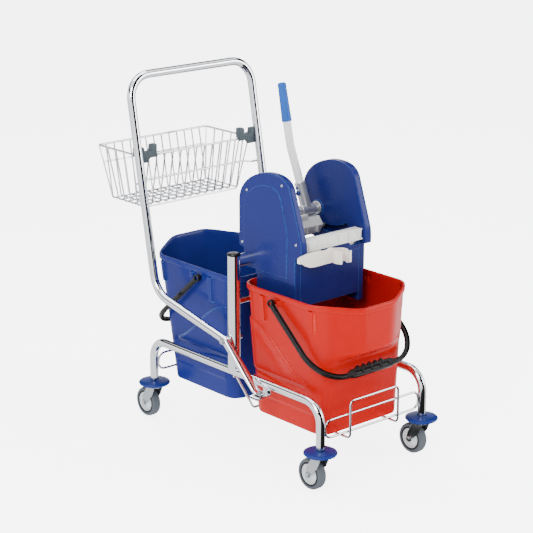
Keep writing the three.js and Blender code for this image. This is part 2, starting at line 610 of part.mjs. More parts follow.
// The cheek seen from the side: a leaning guard above, hooked over the crossbar behind.
function cheekShape(inset, low) {
  const shape = new THREE.Shape();
  const rear = WRINGER.rearY - inset;
  const hookZ = UPPER_BAR_Z + barSeat + inset;
  const neck = rearFace - inset;
  const front = WRINGER.front + inset;
  shape.moveTo(front, low);
  shape.lineTo(neck, low);
  if (low < UPPER_BAR_Z) {
    shape.lineTo(neck, UPPER_BAR_Z);
    shape.quadraticCurveTo(neck, hookZ, MIDDLE_Y - inset, hookZ);
  }
  shape.lineTo(MIDDLE_Y + 12, hookZ);
  shape.lineTo(rear, hookZ + 9);
  shape.lineTo(rear, 652);
  shape.bezierCurveTo(rear, 700 - inset, -20, 739 - inset, -82, 739 - inset);
  shape.bezierCurveTo(-118, 739 - inset, -142 + inset, 730 - inset, -150 + inset, 704);
  shape.lineTo(-188 + inset, 592);
  shape.quadraticCurveTo(-192 + inset, 578, -192 + inset, 562);
  shape.lineTo(-192 + inset, WRINGER.sillZ - 6 + inset);
  shape.lineTo(front, WRINGER.sillZ - 10 + inset);
  shape.closePath();
  return shape;
}

function jawSlot(extra) {
  const shape = new THREE.Shape();
  const reach = THREE.MathUtils.degToRad(JAW.swing + 2);
  const from = -Math.PI / 2 + hang + THREE.MathUtils.degToRad(2);
  const outer = JAW.hangRadius + JAW.lug + extra;
  const inner = JAW.hangRadius - JAW.lug - extra;
  const margin = (JAW.lug + extra) / JAW.hangRadius;
  shape.absarc(PIVOT.y, PIVOT.z, outer, from + margin, from - reach - margin, true);
  shape.absarc(PIVOT.y, PIVOT.z, inner, from - reach - margin, from + margin, false);
  shape.closePath();
  return shape;
}

const SCREWS = [[10, 682], [-120, 716], [28, 541], [-172, 578]];

function wringerBody() {
  const { half, wall, front, legZ, wallZ, sillZ, bandZ, bandDepth, floorZ, backTop, skin, pocketZ } = WRINGER;
  let body = toSolid(block(-cheekInner - 1, front, wallZ, cheekInner + 1, front + wall, sillZ));
  const band = block(-cheekInner - 1, front - bandDepth, bandZ, cheekInner + 1, front + wall, sillZ);
  const back = block(-cheekInner - 1, rearFace - wall, wallZ, cheekInner + 1, rearFace, backTop);
  const tray = block(-cheekInner - 1, front + 1, floorZ, cheekInner + 1, rearFace - 1, floorZ + wall);
  body = join(body, band, back, tray);
  const slots = 6;
  for (let i = 0; i < slots; i++) {
    const x = THREE.MathUtils.lerp(-75, 75, i / (slots - 1));
    body = cut(body, block(x - 7, front + 20, floorZ - 5, x + 7, rearFace - 20, floorZ + 10));
  }
  for (const side of [-1, 1]) {
    const inner = side * cheekInner;
    const skinAt = side * (cheekInner + skin);
    const outer = side * cheekOuter;
    const cheek = sidePlate(cheekShape(0, legZ), inner, outer);
    const boss = rodX(SHAFT.y, SHAFT.z, SHAFT.boss, side * (cheekInner - SHAFT.bossThick), skinAt);
    const casing = sidePlate(cheekShape(wall, pocketZ), skinAt, side * half);
    const legRoom = block(skinAt, front + wall, legZ - 1,
      side * (cheekOuter - skin), rearFace - wall, pocketZ - 2 * wall);
    const bearing = rodX(SHAFT.y, SHAFT.z, SHAFT.radius + GAP, side * (cheekInner - 10), side * half);
    const slot = sidePlate(jawSlot(1), side * (cheekInner - 10), side * (cheekOuter - 6), 8);
    const axle = rodX(PIVOT.y, PIVOT.z, PIVOT.radius, inner + side, side * (cheekOuter - GAP), 12);
    const posts = SCREWS.map(([y, z]) => rodX(y, z, 4.5, inner + side, outer, 8));
    body = join(cut(join(body, cheek, boss), casing, legRoom), axle, ...posts);
    body = cut(body, bearing, slot);
  }
  return body;
}

function cheekCover(side) {
  const shape = cheekShape(0, WRINGER.coverZ);
  return sidePlate(shape, side * (cheekOuter + GAP), side * (WRINGER.half + GAP));
}

// Involute teeth on part of a wheel; angles run from the direction of the mate.
function toothedSector(teeth, first, last, toothAtMesh, hubRadius, backlash) {
  const pitch = (GEAR.module * teeth) / 2;
  const base = pitch * Math.cos(THREE.MathUtils.degToRad(20));
  const tip = pitch + 0.9 * GEAR.module;
  const root = pitch - 1.2 * GEAR.module;
  const step = (2 * Math.PI) / teeth;
  const involute = (radius) => {
    const ratio = Math.min(base / radius, 1);
    return Math.tan(Math.acos(ratio)) - Math.acos(ratio);
  };
  const halfTooth = (radius) =>
    step / 4 - backlash / pitch + involute(pitch) - involute(Math.max(radius, base));
  const levels = [root, pitch, tip];
  const at = (radius, angle) => [radius * Math.cos(angle), radius * Math.sin(angle)];
  const points = [];
  for (let i = first; i <= last; i++) {
    const centre = (i + (toothAtMesh ? 0 : 0.5)) * step;
    for (const radius of levels) points.push(at(radius, centre - halfTooth(radius)));
    for (const radius of levels.toReversed()) points.push(at(radius, centre + halfTooth(radius)));
  }
  const start = Math.atan2(points[0][1], points[0][0]);
  const end = Math.atan2(points.at(-1)[1], points.at(-1)[0]);
  const turn = 2 * Math.PI - (end - start);
  const rounds = 10;
  for (let k = 1; k < rounds; k++) points.push(at(hubRadius, end + (turn * k) / rounds));
  return outline(...points);
}

// Turns a sector drawn about its own centre so that its mesh direction points at its mate.
function placeSector(shape, centre, direction, x0, x1) {
  const plate = sidePlate(shape, x0, x1);
  plate.rotateX(direction);
  return plate.translate(0, centre.y, centre.z);
}

const gearInner = cheekInner + WRINGER.skin + 1 + JAW.arm + 1;
function leverPinion(side) {
  const reach = Math.ceil(GEAR.toothed * 0.5);
  const shape = toothedSector(GEAR.pinionTeeth, -GEAR.toothed + reach - 2, reach - 2, true, 15, 0.25);
  const direction = Math.PI / 2 + meshDirection;
  const plate = placeSector(shape, SHAFT, direction, side * gearInner, side * (gearInner + GEAR.thick));
  return cut(plate, rodX(SHAFT.y, SHAFT.z, SHAFT.radius + GAP, -WRINGER.half * 2, WRINGER.half * 2));
}

function jawArm(side) {
  const shape = toothedSector(GEAR.sectorTeeth, -2, GEAR.toothed - 2, false, 13, 0.25);
  const direction = -Math.PI / 2 + meshDirection;
  const plateAt = cheekInner + WRINGER.skin + 1;
  const outerFace = side * (gearInner + GEAR.thick);
  const sector = placeSector(shape, PIVOT, direction, side * (plateAt + 0.5), outerFace);
  const rib = block(-JAW.armHalf, -JAW.hangRadius, 0, JAW.armHalf, 0, JAW.arm);
  rib.applyMatrix4(SIDE_VIEW).rotateX(hang);
  rib.translate(side > 0 ? plateAt : -plateAt - JAW.arm, PIVOT.y, PIVOT.z);
  const head = rodX(PIVOT.y, PIVOT.z, 13, side * plateAt, outerFace);
  const foot = rodX(JAW_LUG.y, JAW_LUG.z, JAW.lug + 5, side * plateAt, side * (plateAt + JAW.arm));
  const axleHole = rodX(PIVOT.y, PIVOT.z, PIVOT.radius + GAP, -WRINGER.half * 2, WRINGER.half * 2, 12);
  const lugHole = rodX(JAW_LUG.y, JAW_LUG.z, JAW.lug + GAP, -WRINGER.half * 2, WRINGER.half * 2);
  return cut(join(sector, rib, head, foot), axleHole, lugHole);
}

function rearJaw() {
  const { y, z } = JAW_LUG;
  const profile = outline([y - 9, z + 24], [y - 23, z + 4], [y - 12, z - 20],
    [y + 12, z - 20], [y + 15, z + 4], [y + 10, z + 24]);
  const bar = sidePlate(profile, -JAW.half, JAW.half);
  const lugEnd = cheekInner + WRINGER.skin + 1 + JAW.arm;
  const lugs = rodX(y, z, JAW.lug, -lugEnd, lugEnd);
  const tabBack = SHAFT.y - SHAFT.radius - 1.5;
  const tab = block(20, tabBack - 9, z + 20, 46, tabBack, z + 34);
  return join(bar, lugs, tab);
}

function frontJaw() {
  const { half, inner, outer, top, lip, foot } = FRONT_JAW;
  const sillInside = WRINGER.front + WRINGER.wall + GAP;
  const sillOutside = WRINGER.front - WRINGER.bandDepth - GAP;
  const profile = outline([inner, foot], [inner, top - 6], [inner - 5, top],
    [outer + 4, top], [outer, top - 4],
    [outer, lip], [sillOutside, lip], [sillOutside, WRINGER.sillZ + GAP], [sillInside, WRINGER.sillZ + GAP],
    [sillInside, foot]);
  return sidePlate(profile, -half, half);
}

function leverShaft() {
  const end = gearInner + GEAR.thick;
  const bar = rodX(SHAFT.y, SHAFT.z, SHAFT.radius, -end, end);
  const flangeAt = cheekInner - SHAFT.bossThick - GAP;
  const flanges = [-1, 1].map((side) =>
    rodX(SHAFT.y, SHAFT.z, SHAFT.flange, side * (flangeAt - SHAFT.flangeThick), side * flangeAt));
  return join(bar, ...flanges);
}

const leverTilt = THREE.MathUtils.degToRad(LEVER.tilt);
const leverTopTilt = THREE.MathUtils.degToRad(LEVER.topTilt);
const alongLever = (distance) => [
  LEVER.x, SHAFT.y + distance * Math.sin(leverTilt), SHAFT.z + distance * Math.cos(leverTilt),
];
function aboveBend(distance) {
  const [x, y, z] = alongLever(LEVER.bendAt);
  return [x, y + distance * Math.sin(leverTopTilt), z + distance * Math.cos(leverTopTilt)];
}

function leverSocket() {
  const length = LEVER.socketLength;
  const route = bentRoute([alongLever(0), alongLever(length)], 0);
  const body = sweep(route, new THREE.Shape(disc(LEVER.socket, ROUND)));
  const seat = sweep(bentRoute([alongLever(SHAFT.radius + 8), alongLever(length + 5)], 0),
    new THREE.Shape(disc(LEVER.tube + GAP, 12)));
  const shaftRoom = rodX(SHAFT.y, SHAFT.z, SHAFT.radius + GAP, LEVER.x - 30, LEVER.x + 30);
  const below = block(LEVER.x - 30, SHAFT.y - 30, SHAFT.z - 30, LEVER.x + 30, SHAFT.y + 30, SHAFT.z + 3);
  return cut(body, seat, shaftRoom, below, pinRoom(GAP));
}

const pinAt = alongLever(LEVER.socketLength * 0.62);
const pinRoom = (room) => rodX(pinAt[1], pinAt[2], 4 + room, LEVER.x - 40, LEVER.x + 40, 12);

function leverTube() {
  const start = alongLever(SHAFT.radius + 8 + GAP);
  const end = aboveBend(LEVER.gripStart + LEVER.gripLength - 8);
  const body = sweep(bentRoute([start, alongLever(LEVER.bendAt), end], LEVER.bend, 4),
    ring(LEVER.tube, LEVER.bore, 12, 8));
  return cut(body, pinRoom(GAP));
}

function leverPin() {
  const [, y, z] = pinAt;
  const face = LEVER.socket + GAP;
  const shank = rodX(y, z, 4, LEVER.x - face - 3, LEVER.x + face + 3, 12);
  const heads = [-1, 1].map((side) =>
    rodX(y, z, 6.5, LEVER.x + side * face, LEVER.x + side * (face + 3.5), 12));
  return join(shank, ...heads);
}

function leverGrip() {
  const start = new THREE.Vector3(...aboveBend(LEVER.gripStart));
  const length = LEVER.gripLength;
  const { gripLow, gripHigh } = LEVER;
  const end = [[0, length], [gripHigh - 3, length - 1], [gripHigh, length - 5]];
  const profile = [...end, [gripLow, 6], [gripLow, 0], [0, 0]];
  const points = profile.map(([radius, height]) => new THREE.Vector2(radius, height)).reverse();
  const sleeve = new THREE.LatheGeometry(points, ROUND).rotateX(Math.PI / 2).rotateX(-leverTopTilt);
  sleeve.translate(start.x, start.y, start.z);
  const room = sweep(bentRoute([aboveBend(LEVER.gripStart - 5), aboveBend(LEVER.gripStart + length - 7)], 0),
    new THREE.Shape(disc(LEVER.tube + GAP, 12)));
  return cut(sleeve, room);
}

// A spring clip on the front of the press that holds a mop handle upright.
function mopHolder() {
  const { left, right, low, high, thick, clip, clipBore } = HOLDER;
  const back = -192 - GAP - 0.7;
  const point = [[left, low + 18], [left, low + 30], [left + 8, high - 6], [left + 30, high]];
  const bottom = [[right, high - 2], [right, low], [left + 36, low], [left + 14, low + 12]];
  const barShape = new THREE.Shape([...point, ...bottom].map(([x, z]) => new THREE.Vector2(x, z)));
  const bar = new THREE.ExtrudeGeometry(barShape, { depth: thick, bevelEnabled: false });
  bar.rotateX(Math.PI / 2).translate(0, back, 0);
  const foot = block(-70, back - 1, low + 4, 10, WRINGER.front - WRINGER.bandDepth - GAP, FRONT_JAW.lip - 8);
  const clipY = back - clip + 2;
  const clipX = right + clip - 2;
  const shell = rodZ(clipX, clipY, clip, low, low + 32);
  const clipRoom = rodZ(clipX, clipY, clipBore, low - 5, low + 40);
  const mouth = block(clipX - clipBore * 0.8, clipY - 40, low - 5, clipX + clipBore * 0.8, clipY, low + 40);
  return cut(join(bar, foot, shell), clipRoom, mouth);
}

// ---------------------------------------------------------------- assembly
const SIDES = [['left', -1], ['right', 1]];
for (const [name, side] of SIDES) {
  add(`${name}_side_frame`, sideFrame(side), CHROME);
  add(`${name}_post`, post(side), CHROME);
  add(`${name}_post_cap`, postCap(side), BLACK_PLASTIC);
  add(`${name}_post_bolt`, postBolt(side), ZINC);
  add(`${name}_tab_bolt`, tabBolt(side), ZINC);
  add(`${name}_basket_clip`, basketClip(side), SLATE_PLASTIC);
  add(`${name}_cheek_cover`, cheekCover(side), PRESS_BLUE);
  add(`${name}_pinion`, leverPinion(side), GEAR_GREY);
  add(`${name}_jaw_arm`, jawArm(side), GEAR_GREY);
}
add('push_handle', pushHandle(), CHROME);
add('upper_crossbar', crossbar(UPPER_BAR_Z, POST.outer, POST.bore), CHROME);
add('lower_crossbar', crossbar(LOWER_BAR.z, LOWER_BAR.radius, 0), CHROME);
add('front_wire_loop', wireLoop(-loopY), CHROME);
add('rear_wire_loop', wireLoop(loopY), CHROME);
add('bucket_cradle', bucketCradle(), CHROME);
add('middle_hanger', middleHanger(), CHROME);

const CORNERS = [['front_left', -1, -1], ['front_right', 1, -1], ['rear_left', -1, 1], ['rear_right', 1, 1]];
for (const [name, sideX, sideY] of CORNERS) {
  const x = sideX * halfTrack;
  const y = sideY * halfBase;
  add(`${name}_bumper`, bumper(x, y), BUMPER_BLUE);
  add(`${name}_fork`, casterFork(x, y), ZINC);
  add(`${name}_axle`, casterAxle(x, y), ZINC);
  add(`${name}_hub`, wheelHub(x, y), WHITE_PLASTIC);
  add(`${name}_tyre`, wheelTyre(x, y), TYRE_GREY);
}

add('red_bucket', placeRed(bucket(RED_FRONT)), RED_PLASTIC);
add('red_bail', placeRed(bail(RED_FRONT.bail)), BLACK_PLASTIC);
add('blue_bucket', placeBlue(bucket(BLUE_FRONT)), BLUE_PLASTIC);
add('blue_bail', placeBlue(bail(BLUE_FRONT.bail)), BLACK_PLASTIC);
add('wire_basket', wireBasket(), CHROME);

add('wringer_body', wringerBody(), PRESS_BLUE);
add('rear_jaw', rearJaw(), WHITE_PLASTIC);
add('front_jaw', frontJaw(), WHITE_PLASTIC);
add('lever_shaft', leverShaft(), ZINC);
add('lever_socket', leverSocket(), ZINC);
add('lever_tube', leverTube(), WHITE_PAINT);
add('lever_pin', leverPin(), PRESS_BLUE);
add('lever_grip', leverGrip(), GRIP_BLUE);
add('mop_holder', mopHolder(), CREAM_PLASTIC);

// The origin is on the floor under the middle of the whole trolley.
const extent = new THREE.Box3().setFromObject(group);
group.position.set(-(extent.min.x + extent.max.x) / 2, -(extent.min.y + extent.max.y) / 2, 0);

export default group;
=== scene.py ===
import logging
import math
from dataclasses import dataclass
from enum import Enum
from typing import Sequence

import bpy
from mathutils import Matrix, Vector


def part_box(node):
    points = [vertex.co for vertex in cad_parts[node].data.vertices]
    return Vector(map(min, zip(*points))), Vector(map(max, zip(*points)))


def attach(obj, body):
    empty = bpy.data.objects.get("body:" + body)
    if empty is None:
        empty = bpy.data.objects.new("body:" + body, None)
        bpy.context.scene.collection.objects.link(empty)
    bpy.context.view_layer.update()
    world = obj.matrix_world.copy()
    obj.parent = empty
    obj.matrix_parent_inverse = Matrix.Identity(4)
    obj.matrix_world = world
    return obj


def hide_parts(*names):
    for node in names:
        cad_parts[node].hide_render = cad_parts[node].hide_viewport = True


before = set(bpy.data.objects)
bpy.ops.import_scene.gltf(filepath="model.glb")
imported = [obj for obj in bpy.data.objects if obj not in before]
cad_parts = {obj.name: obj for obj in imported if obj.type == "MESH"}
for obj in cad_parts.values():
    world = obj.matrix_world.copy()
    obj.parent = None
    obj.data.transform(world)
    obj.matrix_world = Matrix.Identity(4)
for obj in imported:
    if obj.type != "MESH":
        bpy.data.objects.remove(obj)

LOG = logging.getLogger("trolley")
MM = 0.001
Point = tuple[float, float, float]
Flat = tuple[float, float]
# Sizes that several sub-assemblies share, in millimetres.
HALF_TRACK = 175.0
HALF_BASE = 326.0
POST_Y = -6.0
HANDLE_ELBOW = (274.0, 371.0)
HANDLE_TOP = (374.6, 924.5)
SHAFT = (-17.0, 606.0)
BAIL_PIVOT_BACK = 134.0
BAIL_PIVOT_Z = 433.0
RED_SHIFT = -4.0
BLUE_SHIFT = 12.0
SIDES = (("left", -1), ("right", 1))
CORNERS = (("front_left", -1, -1), ("front_right", 1, -1), ("rear_left", -1, 1), ("rear_right", 1, 1))


def frame_shift() -> float:
    """Returns how far along Y, in metres, the maker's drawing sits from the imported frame."""
    low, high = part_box("left_post")
    return (low.y + high.y) / 2 - POST_Y * MM


SHIFT_Y = frame_shift()


def at(x: float, y: float, z: float) -> Vector:
    """Turns millimetres on the maker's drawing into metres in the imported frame.

    Args:
        x: Across, to the right of the trolley.
        y: Along, towards the push handle.
        z: Up from the floor.

    Returns:
        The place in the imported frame.
    """
    return Vector((x * MM, y * MM + SHIFT_Y, z * MM))


def mix(low: float, high: float, share: float) -> float:
    """Returns the value a share of the way from low to high.

    Args:
        low: The value at 0.
        high: The value at 1.
        share: How far from low to high.

    Returns:
        The value there.
    """
    return low + (high - low) * share


def ease(value: float) -> float:
    """Returns a soft step that is 0 below 0 and 1 above 1."""
    share = min(max(value, 0.0), 1.0)
    return share * share * (3 - 2 * share)


def handle_y(z: float) -> float:
    """Returns where the leaning part of the push handle lies along Y at a height."""
    lean = (HANDLE_TOP[0] - HANDLE_ELBOW[0]) / (HANDLE_TOP[1] - HANDLE_ELBOW[1])
    return HANDLE_ELBOW[0] + lean * (z - HANDLE_ELBOW[1])


def arc(centre: Flat, radius: float, start: float, end: float, steps: int) -> list[Flat]:
    """Returns points along an arc, with angles in degrees from the first axis.

    Args:
        centre: The middle of the arc.
        radius: Its radius.
        start: Its first angle.
        end: Its last angle.
        steps: How many steps it takes.

    Returns:
        The points, one more than the steps.
    """
    angles = [math.radians(mix(start, end, i / steps)) for i in range(steps + 1)]
    return [(centre[0] + radius * math.cos(a), centre[1] + radius * math.sin(a)) for a in angles]


def bezier(p0: Flat, p1: Flat, p2: Flat, p3: Flat, steps: int) -> list[Flat]:
    """Returns points along a cubic curve, without its first point.

    Args:
        p0: Where the curve starts.
        p1: The point it sets off towards.
        p2: The point it arrives from.
        p3: Where it ends.
        steps: How many points to give.

    Returns:
        The points.
    """
    points = []
    for i in range(1, steps + 1):
        t = i / steps
        u = 1 - t
        weights = (u * u * u, 3 * u * u * t, 3 * u * t * t, t * t * t)
        points.append(tuple(sum(w * p[k] for w, p in zip(weights, (p0, p1, p2, p3))) for k in (0, 1)))
    return points


# ---------------------------------------------------------------- finishes
class Process(Enum):
    """How a surface was made, which decides its fine texture."""

    MOULDED = "moulded"
    PLATED = "plated"
    COATED = "coated"
    VULCANISED = "vulcanised"


@dataclass(frozen=True)
class Grain:
    """The fine texture of one process.

    The size is the pitch in millimetres and the depth is the bump's height in millimetres.
    """

    size: float
    depth: float
    detail: float


# Each pitch is drawn a little coarser than life where it would vanish in a picture.
GRAINS = {
    Process.MOULDED: Grain(size=0.9, depth=0.008, detail=3.0),
    Process.PLATED: Grain(size=14.0, depth=0.012, detail=1.0),
    Process.COATED: Grain(size=2.4, depth=0.03, detail=2.0),
    Process.VULCANISED: Grain(size=1.2, depth=0.06, detail=4.0),
}

# Pitch in millimetres of the handling smears, and of the patches that the painted edge highlight is broken
# into.
SMEAR_SIZE = 45.0
HIGHLIGHT_PATCH_SIZE = 9.0
# How far in from an edge the painted highlight reaches, in millimetres.
HIGHLIGHT_REACH = 2.5


def linear(code: str) -> tuple[float, float, float, float]:
    """Turns an sRGB hex code into a linear colour.

    Args:
        code: Six hexadecimal digits.

    Returns:
        Red, green, blue and alpha for a shader socket.
    """
    channels = [int(code[i : i + 2], 16) / 255 for i in (0, 2, 4)]
    values = [c / 12.92 if c <= 0.04045 else ((c + 0.055) / 1.055) ** 2.4 for c in channels]
    return (values[0], values[1], values[2], 1.0)


def node(tree: bpy.types.NodeTree, kind: str, settings: dict, links: dict) -> bpy.types.Node:
    """Adds a node with its settings and links.

    Args:
        tree: The tree that takes the node.
        kind: The node's type name.
        settings: Attribute names, or input names that start with "=", and their values.
        links: Input names and the output sockets that feed them.

    Returns:
        The new node.
    """
    made = tree.nodes.new(kind)
    for key, value in settings.items():
        if key.startswith("="):
            socket_of(made, key[1:]).default_value = value
        else:
            setattr(made, key, value)
    for key, output in links.items():
        tree.links.new(output, socket_of(made, key))
    return made


def socket_of(made: bpy.types.Node, key: str) -> bpy.types.NodeSocket:
    """Returns a node's input by its name, or by its number written as text.

    Args:
        made: The node.
        key: The input's name or number.

    Returns:
        The input socket.
    """
    return made.inputs[int(key) if key.isdigit() else key]


@dataclass(frozen=True)
class Finish:
    """One real material and its surface.

    The base and shade are hex codes that the surface drifts between, and the edge colour, where given, is a
    highlight painted on rounded edges.
    """

    name: str
    slot: str
    base: str
    shade: str
    process: Process
    rough: Flat
    metallic: float = 0.0
    ior: float = 1.5
    coat: float = 0.0
    subsurface: float = 0.0
    gloss: float = 0.2
    edge_highlight: str = ""
    glow: float = 0.0
    drift: float = 60.0

    def material(self) -> bpy.types.Material:
        """Returns this finish's material, made the first time that it is asked for."""
        found = bpy.data.materials.get(self.name)
        return found or self._make()

    def _make(self) -> bpy.types.Material:
        """Builds the node tree: drifting colour, uneven roughness, and the process's grain as bump.

        Returns:
            The material.
        """
        made = bpy.data.materials.new(self.name)
        made.use_nodes = True
        tree = made.node_tree
        tree.nodes.clear()
        grain = GRAINS[self.process]
        place = node(tree, "ShaderNodeTexCoord", {}, {})
        where = node(tree, "ShaderNodeMapping", {}, {"Vector": place.outputs["Object"]})
        spot = where.outputs["Vector"]
        drifting = {"=Scale": 1 / (self.drift * MM), "=Detail": 3.0}
        clouds = node(tree, "ShaderNodeTexNoise", drifting, {"Vector": spot})
        tints = {"data_type": "RGBA", "=6": linear(self.base), "=7": linear(self.shade)}
        tint = node(tree, "ShaderNodeMix", tints, {"0": clouds.outputs["Fac"]}).outputs[2]
        # Rounded edges get a painted highlight: a lighter colour where light would catch them.
        if self.edge_highlight:
            tint = self._painted_edge_highlight(tree, tint, spot)
        pitted = {"=Scale": 1 / (grain.size * MM), "=Detail": grain.detail, "=Roughness": 0.55}
        fine = node(tree, "ShaderNodeTexNoise", pitted, {"Vector": spot})
        smeared = {"=Scale": 1 / (SMEAR_SIZE * MM), "=Detail": 3.0}
        smear = node(tree, "ShaderNodeTexNoise", smeared, {"Vector": spot})
        spread = {"=From Min": 0.35, "=From Max": 0.65, "=To Min": self.rough[0], "=To Max": self.rough[1]}
        rough = node(tree, "ShaderNodeMapRange", spread, {"Value": smear.outputs["Fac"]})
        raised = {"=Distance": grain.depth * MM, "=Strength": 0.8}
        bump = node(tree, "ShaderNodeBump", raised, {"Height": fine.outputs["Fac"]})
        settings = {"=Metallic": self.metallic, "=Coat Weight": self.coat, "=Coat Roughness": 0.12}
        if self.metallic < 0.5:
            settings.update({"=IOR": self.ior, "=Specular IOR Level": self.gloss})
        if self.glow:
            settings.update({"=Emission Color": linear(self.base), "=Emission Strength": self.glow})
        if self.subsurface:
            settings.update({"=Subsurface Weight": self.subsurface, "=Subsurface Scale": 2.5 * MM})
        links = {"Base Color": tint, "Roughness": rough.outputs["Result"], "Normal": bump.outputs["Normal"]}
        shader = node(tree, "ShaderNodeBsdfPrincipled", settings, links)
        node(tree, "ShaderNodeOutputMaterial", {}, {"Surface": shader.outputs["BSDF"]})
        return made

    def _painted_edge_highlight(
        self, tree: bpy.types.NodeTree, tint: bpy.types.NodeSocket, spot: bpy.types.NodeSocket
    ) -> bpy.types.NodeSocket:
        """Paints a highlight on rounded edges, lighter where light would catch the rounding.

        Args:
            tree: The material's tree.
            tint: The colour so far.
            spot: The coordinates to break the painted highlight up with.

        Returns:
            The colour socket with the worn edges in it.
        """
        shape = node(tree, "ShaderNodeNewGeometry", {}, {})
        rounded = node(tree, "ShaderNodeBevel", {"samples": 4, "=Radius": HIGHLIGHT_REACH * MM}, {})
        facing = {"0": shape.outputs["True Normal"], "1": rounded.outputs["Normal"]}
        turn = node(tree, "ShaderNodeVectorMath", {"operation": "DOT_PRODUCT"}, facing)
        sharp = {"=From Min": 0.97, "=From Max": 0.8, "=To Min": 0.0, "=To Max": 1.3}
        edge = node(tree, "ShaderNodeMapRange", sharp, {"Value": turn.outputs["Value"]})
        patchy = {"=Scale": 1 / (HIGHLIGHT_PATCH_SIZE * MM), "=Detail": 4.0}
        patch = node(tree, "ShaderNodeTexNoise", patchy, {"Vector": spot})
        shares = {"0": edge.outputs[0], "1": patch.outputs["Fac"]}
        both = node(tree, "ShaderNodeMath", {"operation": "MULTIPLY"}, shares)
        tints = {"data_type": "RGBA", "=7": linear(self.edge_highlight)}
        return node(tree, "ShaderNodeMix", tints, {"0": both.outputs[0], "6": tint}).outputs[2]


# Bright decorative chrome over polished nickel: a near mirror with faint polishing waves.
CHROME = Finish(
    "bright_chrome_plate", "chrome_tube", "eceef2", "e2e5ea", Process.PLATED, (0.045, 0.1), metallic=1.0
)
# Zinc electroplate on pressed steel: greyer, with a soft uneven sheen.
ZINC = Finish(
    "zinc_plated_steel", "zinc_steel", "c4c8cc", "a9aeb4", Process.PLATED, (0.22, 0.36), metallic=1.0
)
# Injection-moulded polypropylene: a waxy satin in a deep even colour, with a painted highlight on the rims.
RED_PP = Finish(
    "red_moulded_polypropylene", "red_plastic", "b40e07", "ab0b06", Process.MOULDED, (0.2, 0.25),
    ior=1.49, gloss=0.16, edge_highlight="e0453a",
)
BLUE_PP = Finish(
    "blue_moulded_polypropylene", "blue_plastic", "1b2672", "182269", Process.MOULDED, (0.2, 0.25),
    ior=1.49, gloss=0.16, edge_highlight="3f78cc",
)
# The press is glass-filled polypropylene: harder and a little duller, with a painted highlight on its edges.
PRESS_PP = Finish(
    "press_blue_filled_polypropylene", "press_blue_plastic", "1b2468", "192161", Process.MOULDED, (0.27, 0.3),
    ior=1.5, gloss=0.14, edge_highlight="4a86d6",
)
# Soft polyethylene bumper discs: waxy, with a painted highlight round the edge.
BUMPER_PE = Finish(
    "bumper_blue_polyethylene", "bumper_plastic", "102a78", "0d236a", Process.MOULDED, (0.3, 0.42),
    ior=1.5, edge_highlight="4d74c0",
)
# Dipped soft vinyl on the lever's hand grip: a pale matt blue, with a painted highlight on its edges.
GRIP_PVC = Finish(
    "dipped_blue_vinyl", "grip_vinyl", "2359ab", "1e509e", Process.COATED, (0.38, 0.5),
    ior=1.52, edge_highlight="7aa3dc",
)
# Moulded ABS: white and fairly glossy, with a little light under the skin.
WHITE_ABS = Finish(
    "white_moulded_abs", "white_plastic", "f1f1ef", "e6e6e4", Process.MOULDED, (0.25, 0.38),
    ior=1.53, subsurface=0.05,
)
CREAM_ABS = Finish(
    "cream_moulded_abs", "cream_plastic", "f4efe6", "eae4d9", Process.MOULDED, (0.28, 0.4),
    ior=1.53, subsurface=0.05,
)
# Polyester powder coat on the lever tube: glossy with a slight orange peel.
WHITE_COAT = Finish(
    "white_powder_coat", "white_paint", "f2f2f5", "e8e8ed", Process.COATED, (0.16, 0.26), ior=1.5, coat=0.2
)
# Die-cast socket, painted silver: half metal, half lacquer.
SILVER_CAST = Finish(
    "silver_painted_casting", "zinc_steel", "c9cacf", "bcbdc3", Process.COATED, (0.3, 0.42), metallic=0.7
)
# Black moulded polypropylene on the bails and post caps: dark with a soft shine.
BLACK_PP = Finish(
    "black_moulded_polypropylene", "black_plastic", "101113", "0c0d0f", Process.MOULDED, (0.22, 0.34),
    ior=1.49, coat=0.1,
)
# Moulded nylon basket clips: a dull slate grey.
SLATE_PA = Finish(
    "slate_moulded_nylon", "slate_plastic", "4b555c", "434c52", Process.MOULDED, (0.4, 0.55), ior=1.53
)
# Grey non-marking rubber tread, and the dark rubber guard beside it: both matt.
TYRE_RUBBER = Finish(
    "grey_vulcanised_rubber", "tyre_rubber", "535a60", "4b5157", Process.VULCANISED, (0.55, 0.75), ior=1.52
)
THREAD_GUARD = Finish(
    "dark_rubber_guard", "black_plastic", "22262b", "1b1f23", Process.VULCANISED, (0.5, 0.7), ior=1.52
)
# Moulded polypropylene wheel hub: a cool greyish white.
HUB_PP = Finish(
    "grey_white_moulded_hub", "white_plastic", "d2d6d9", "c6cbcf", Process.MOULDED, (0.3, 0.42), ior=1.49
)
# Acetal gears inside the press: slippery, satin grey.
GEAR_POM = Finish(
    "grey_acetal_gear", "gear_plastic", "8b9096", "7f848a", Process.MOULDED, (0.3, 0.4), ior=1.48
)
# Uncoated studio paper: matt and nearly white, lit a little from behind.
STUDIO_PAPER = Finish(
    "pale_studio_paper", "white_plastic", "f8f8f8", "f6f6f6", Process.VULCANISED, (0.9, 0.97), glow=1.6
)


# ---------------------------------------------------------------- bench: modelling by operator
def clear_bench() -> None:
    """Goes to object mode with nothing selected."""
    if bpy.context.mode != "OBJECT":
        bpy.ops.object.mode_set(mode="OBJECT")
    bpy.ops.object.select_all(action="DESELECT")


def pick(piece: bpy.types.Object) -> None:
    """Selects one piece and makes it active."""
    clear_bench()
    piece.select_set(True)
    bpy.context.view_layer.objects.active = piece


def open_mesh(piece: bpy.types.Object) -> None:
    """Opens a piece in edit mode with nothing selected.

    Args:
        piece: The piece to edit.
    """
    pick(piece)
    bpy.ops.object.mode_set(mode="EDIT")
    bpy.ops.mesh.select_mode(type="VERT")
    bpy.ops.mesh.select_all(action="DESELECT")


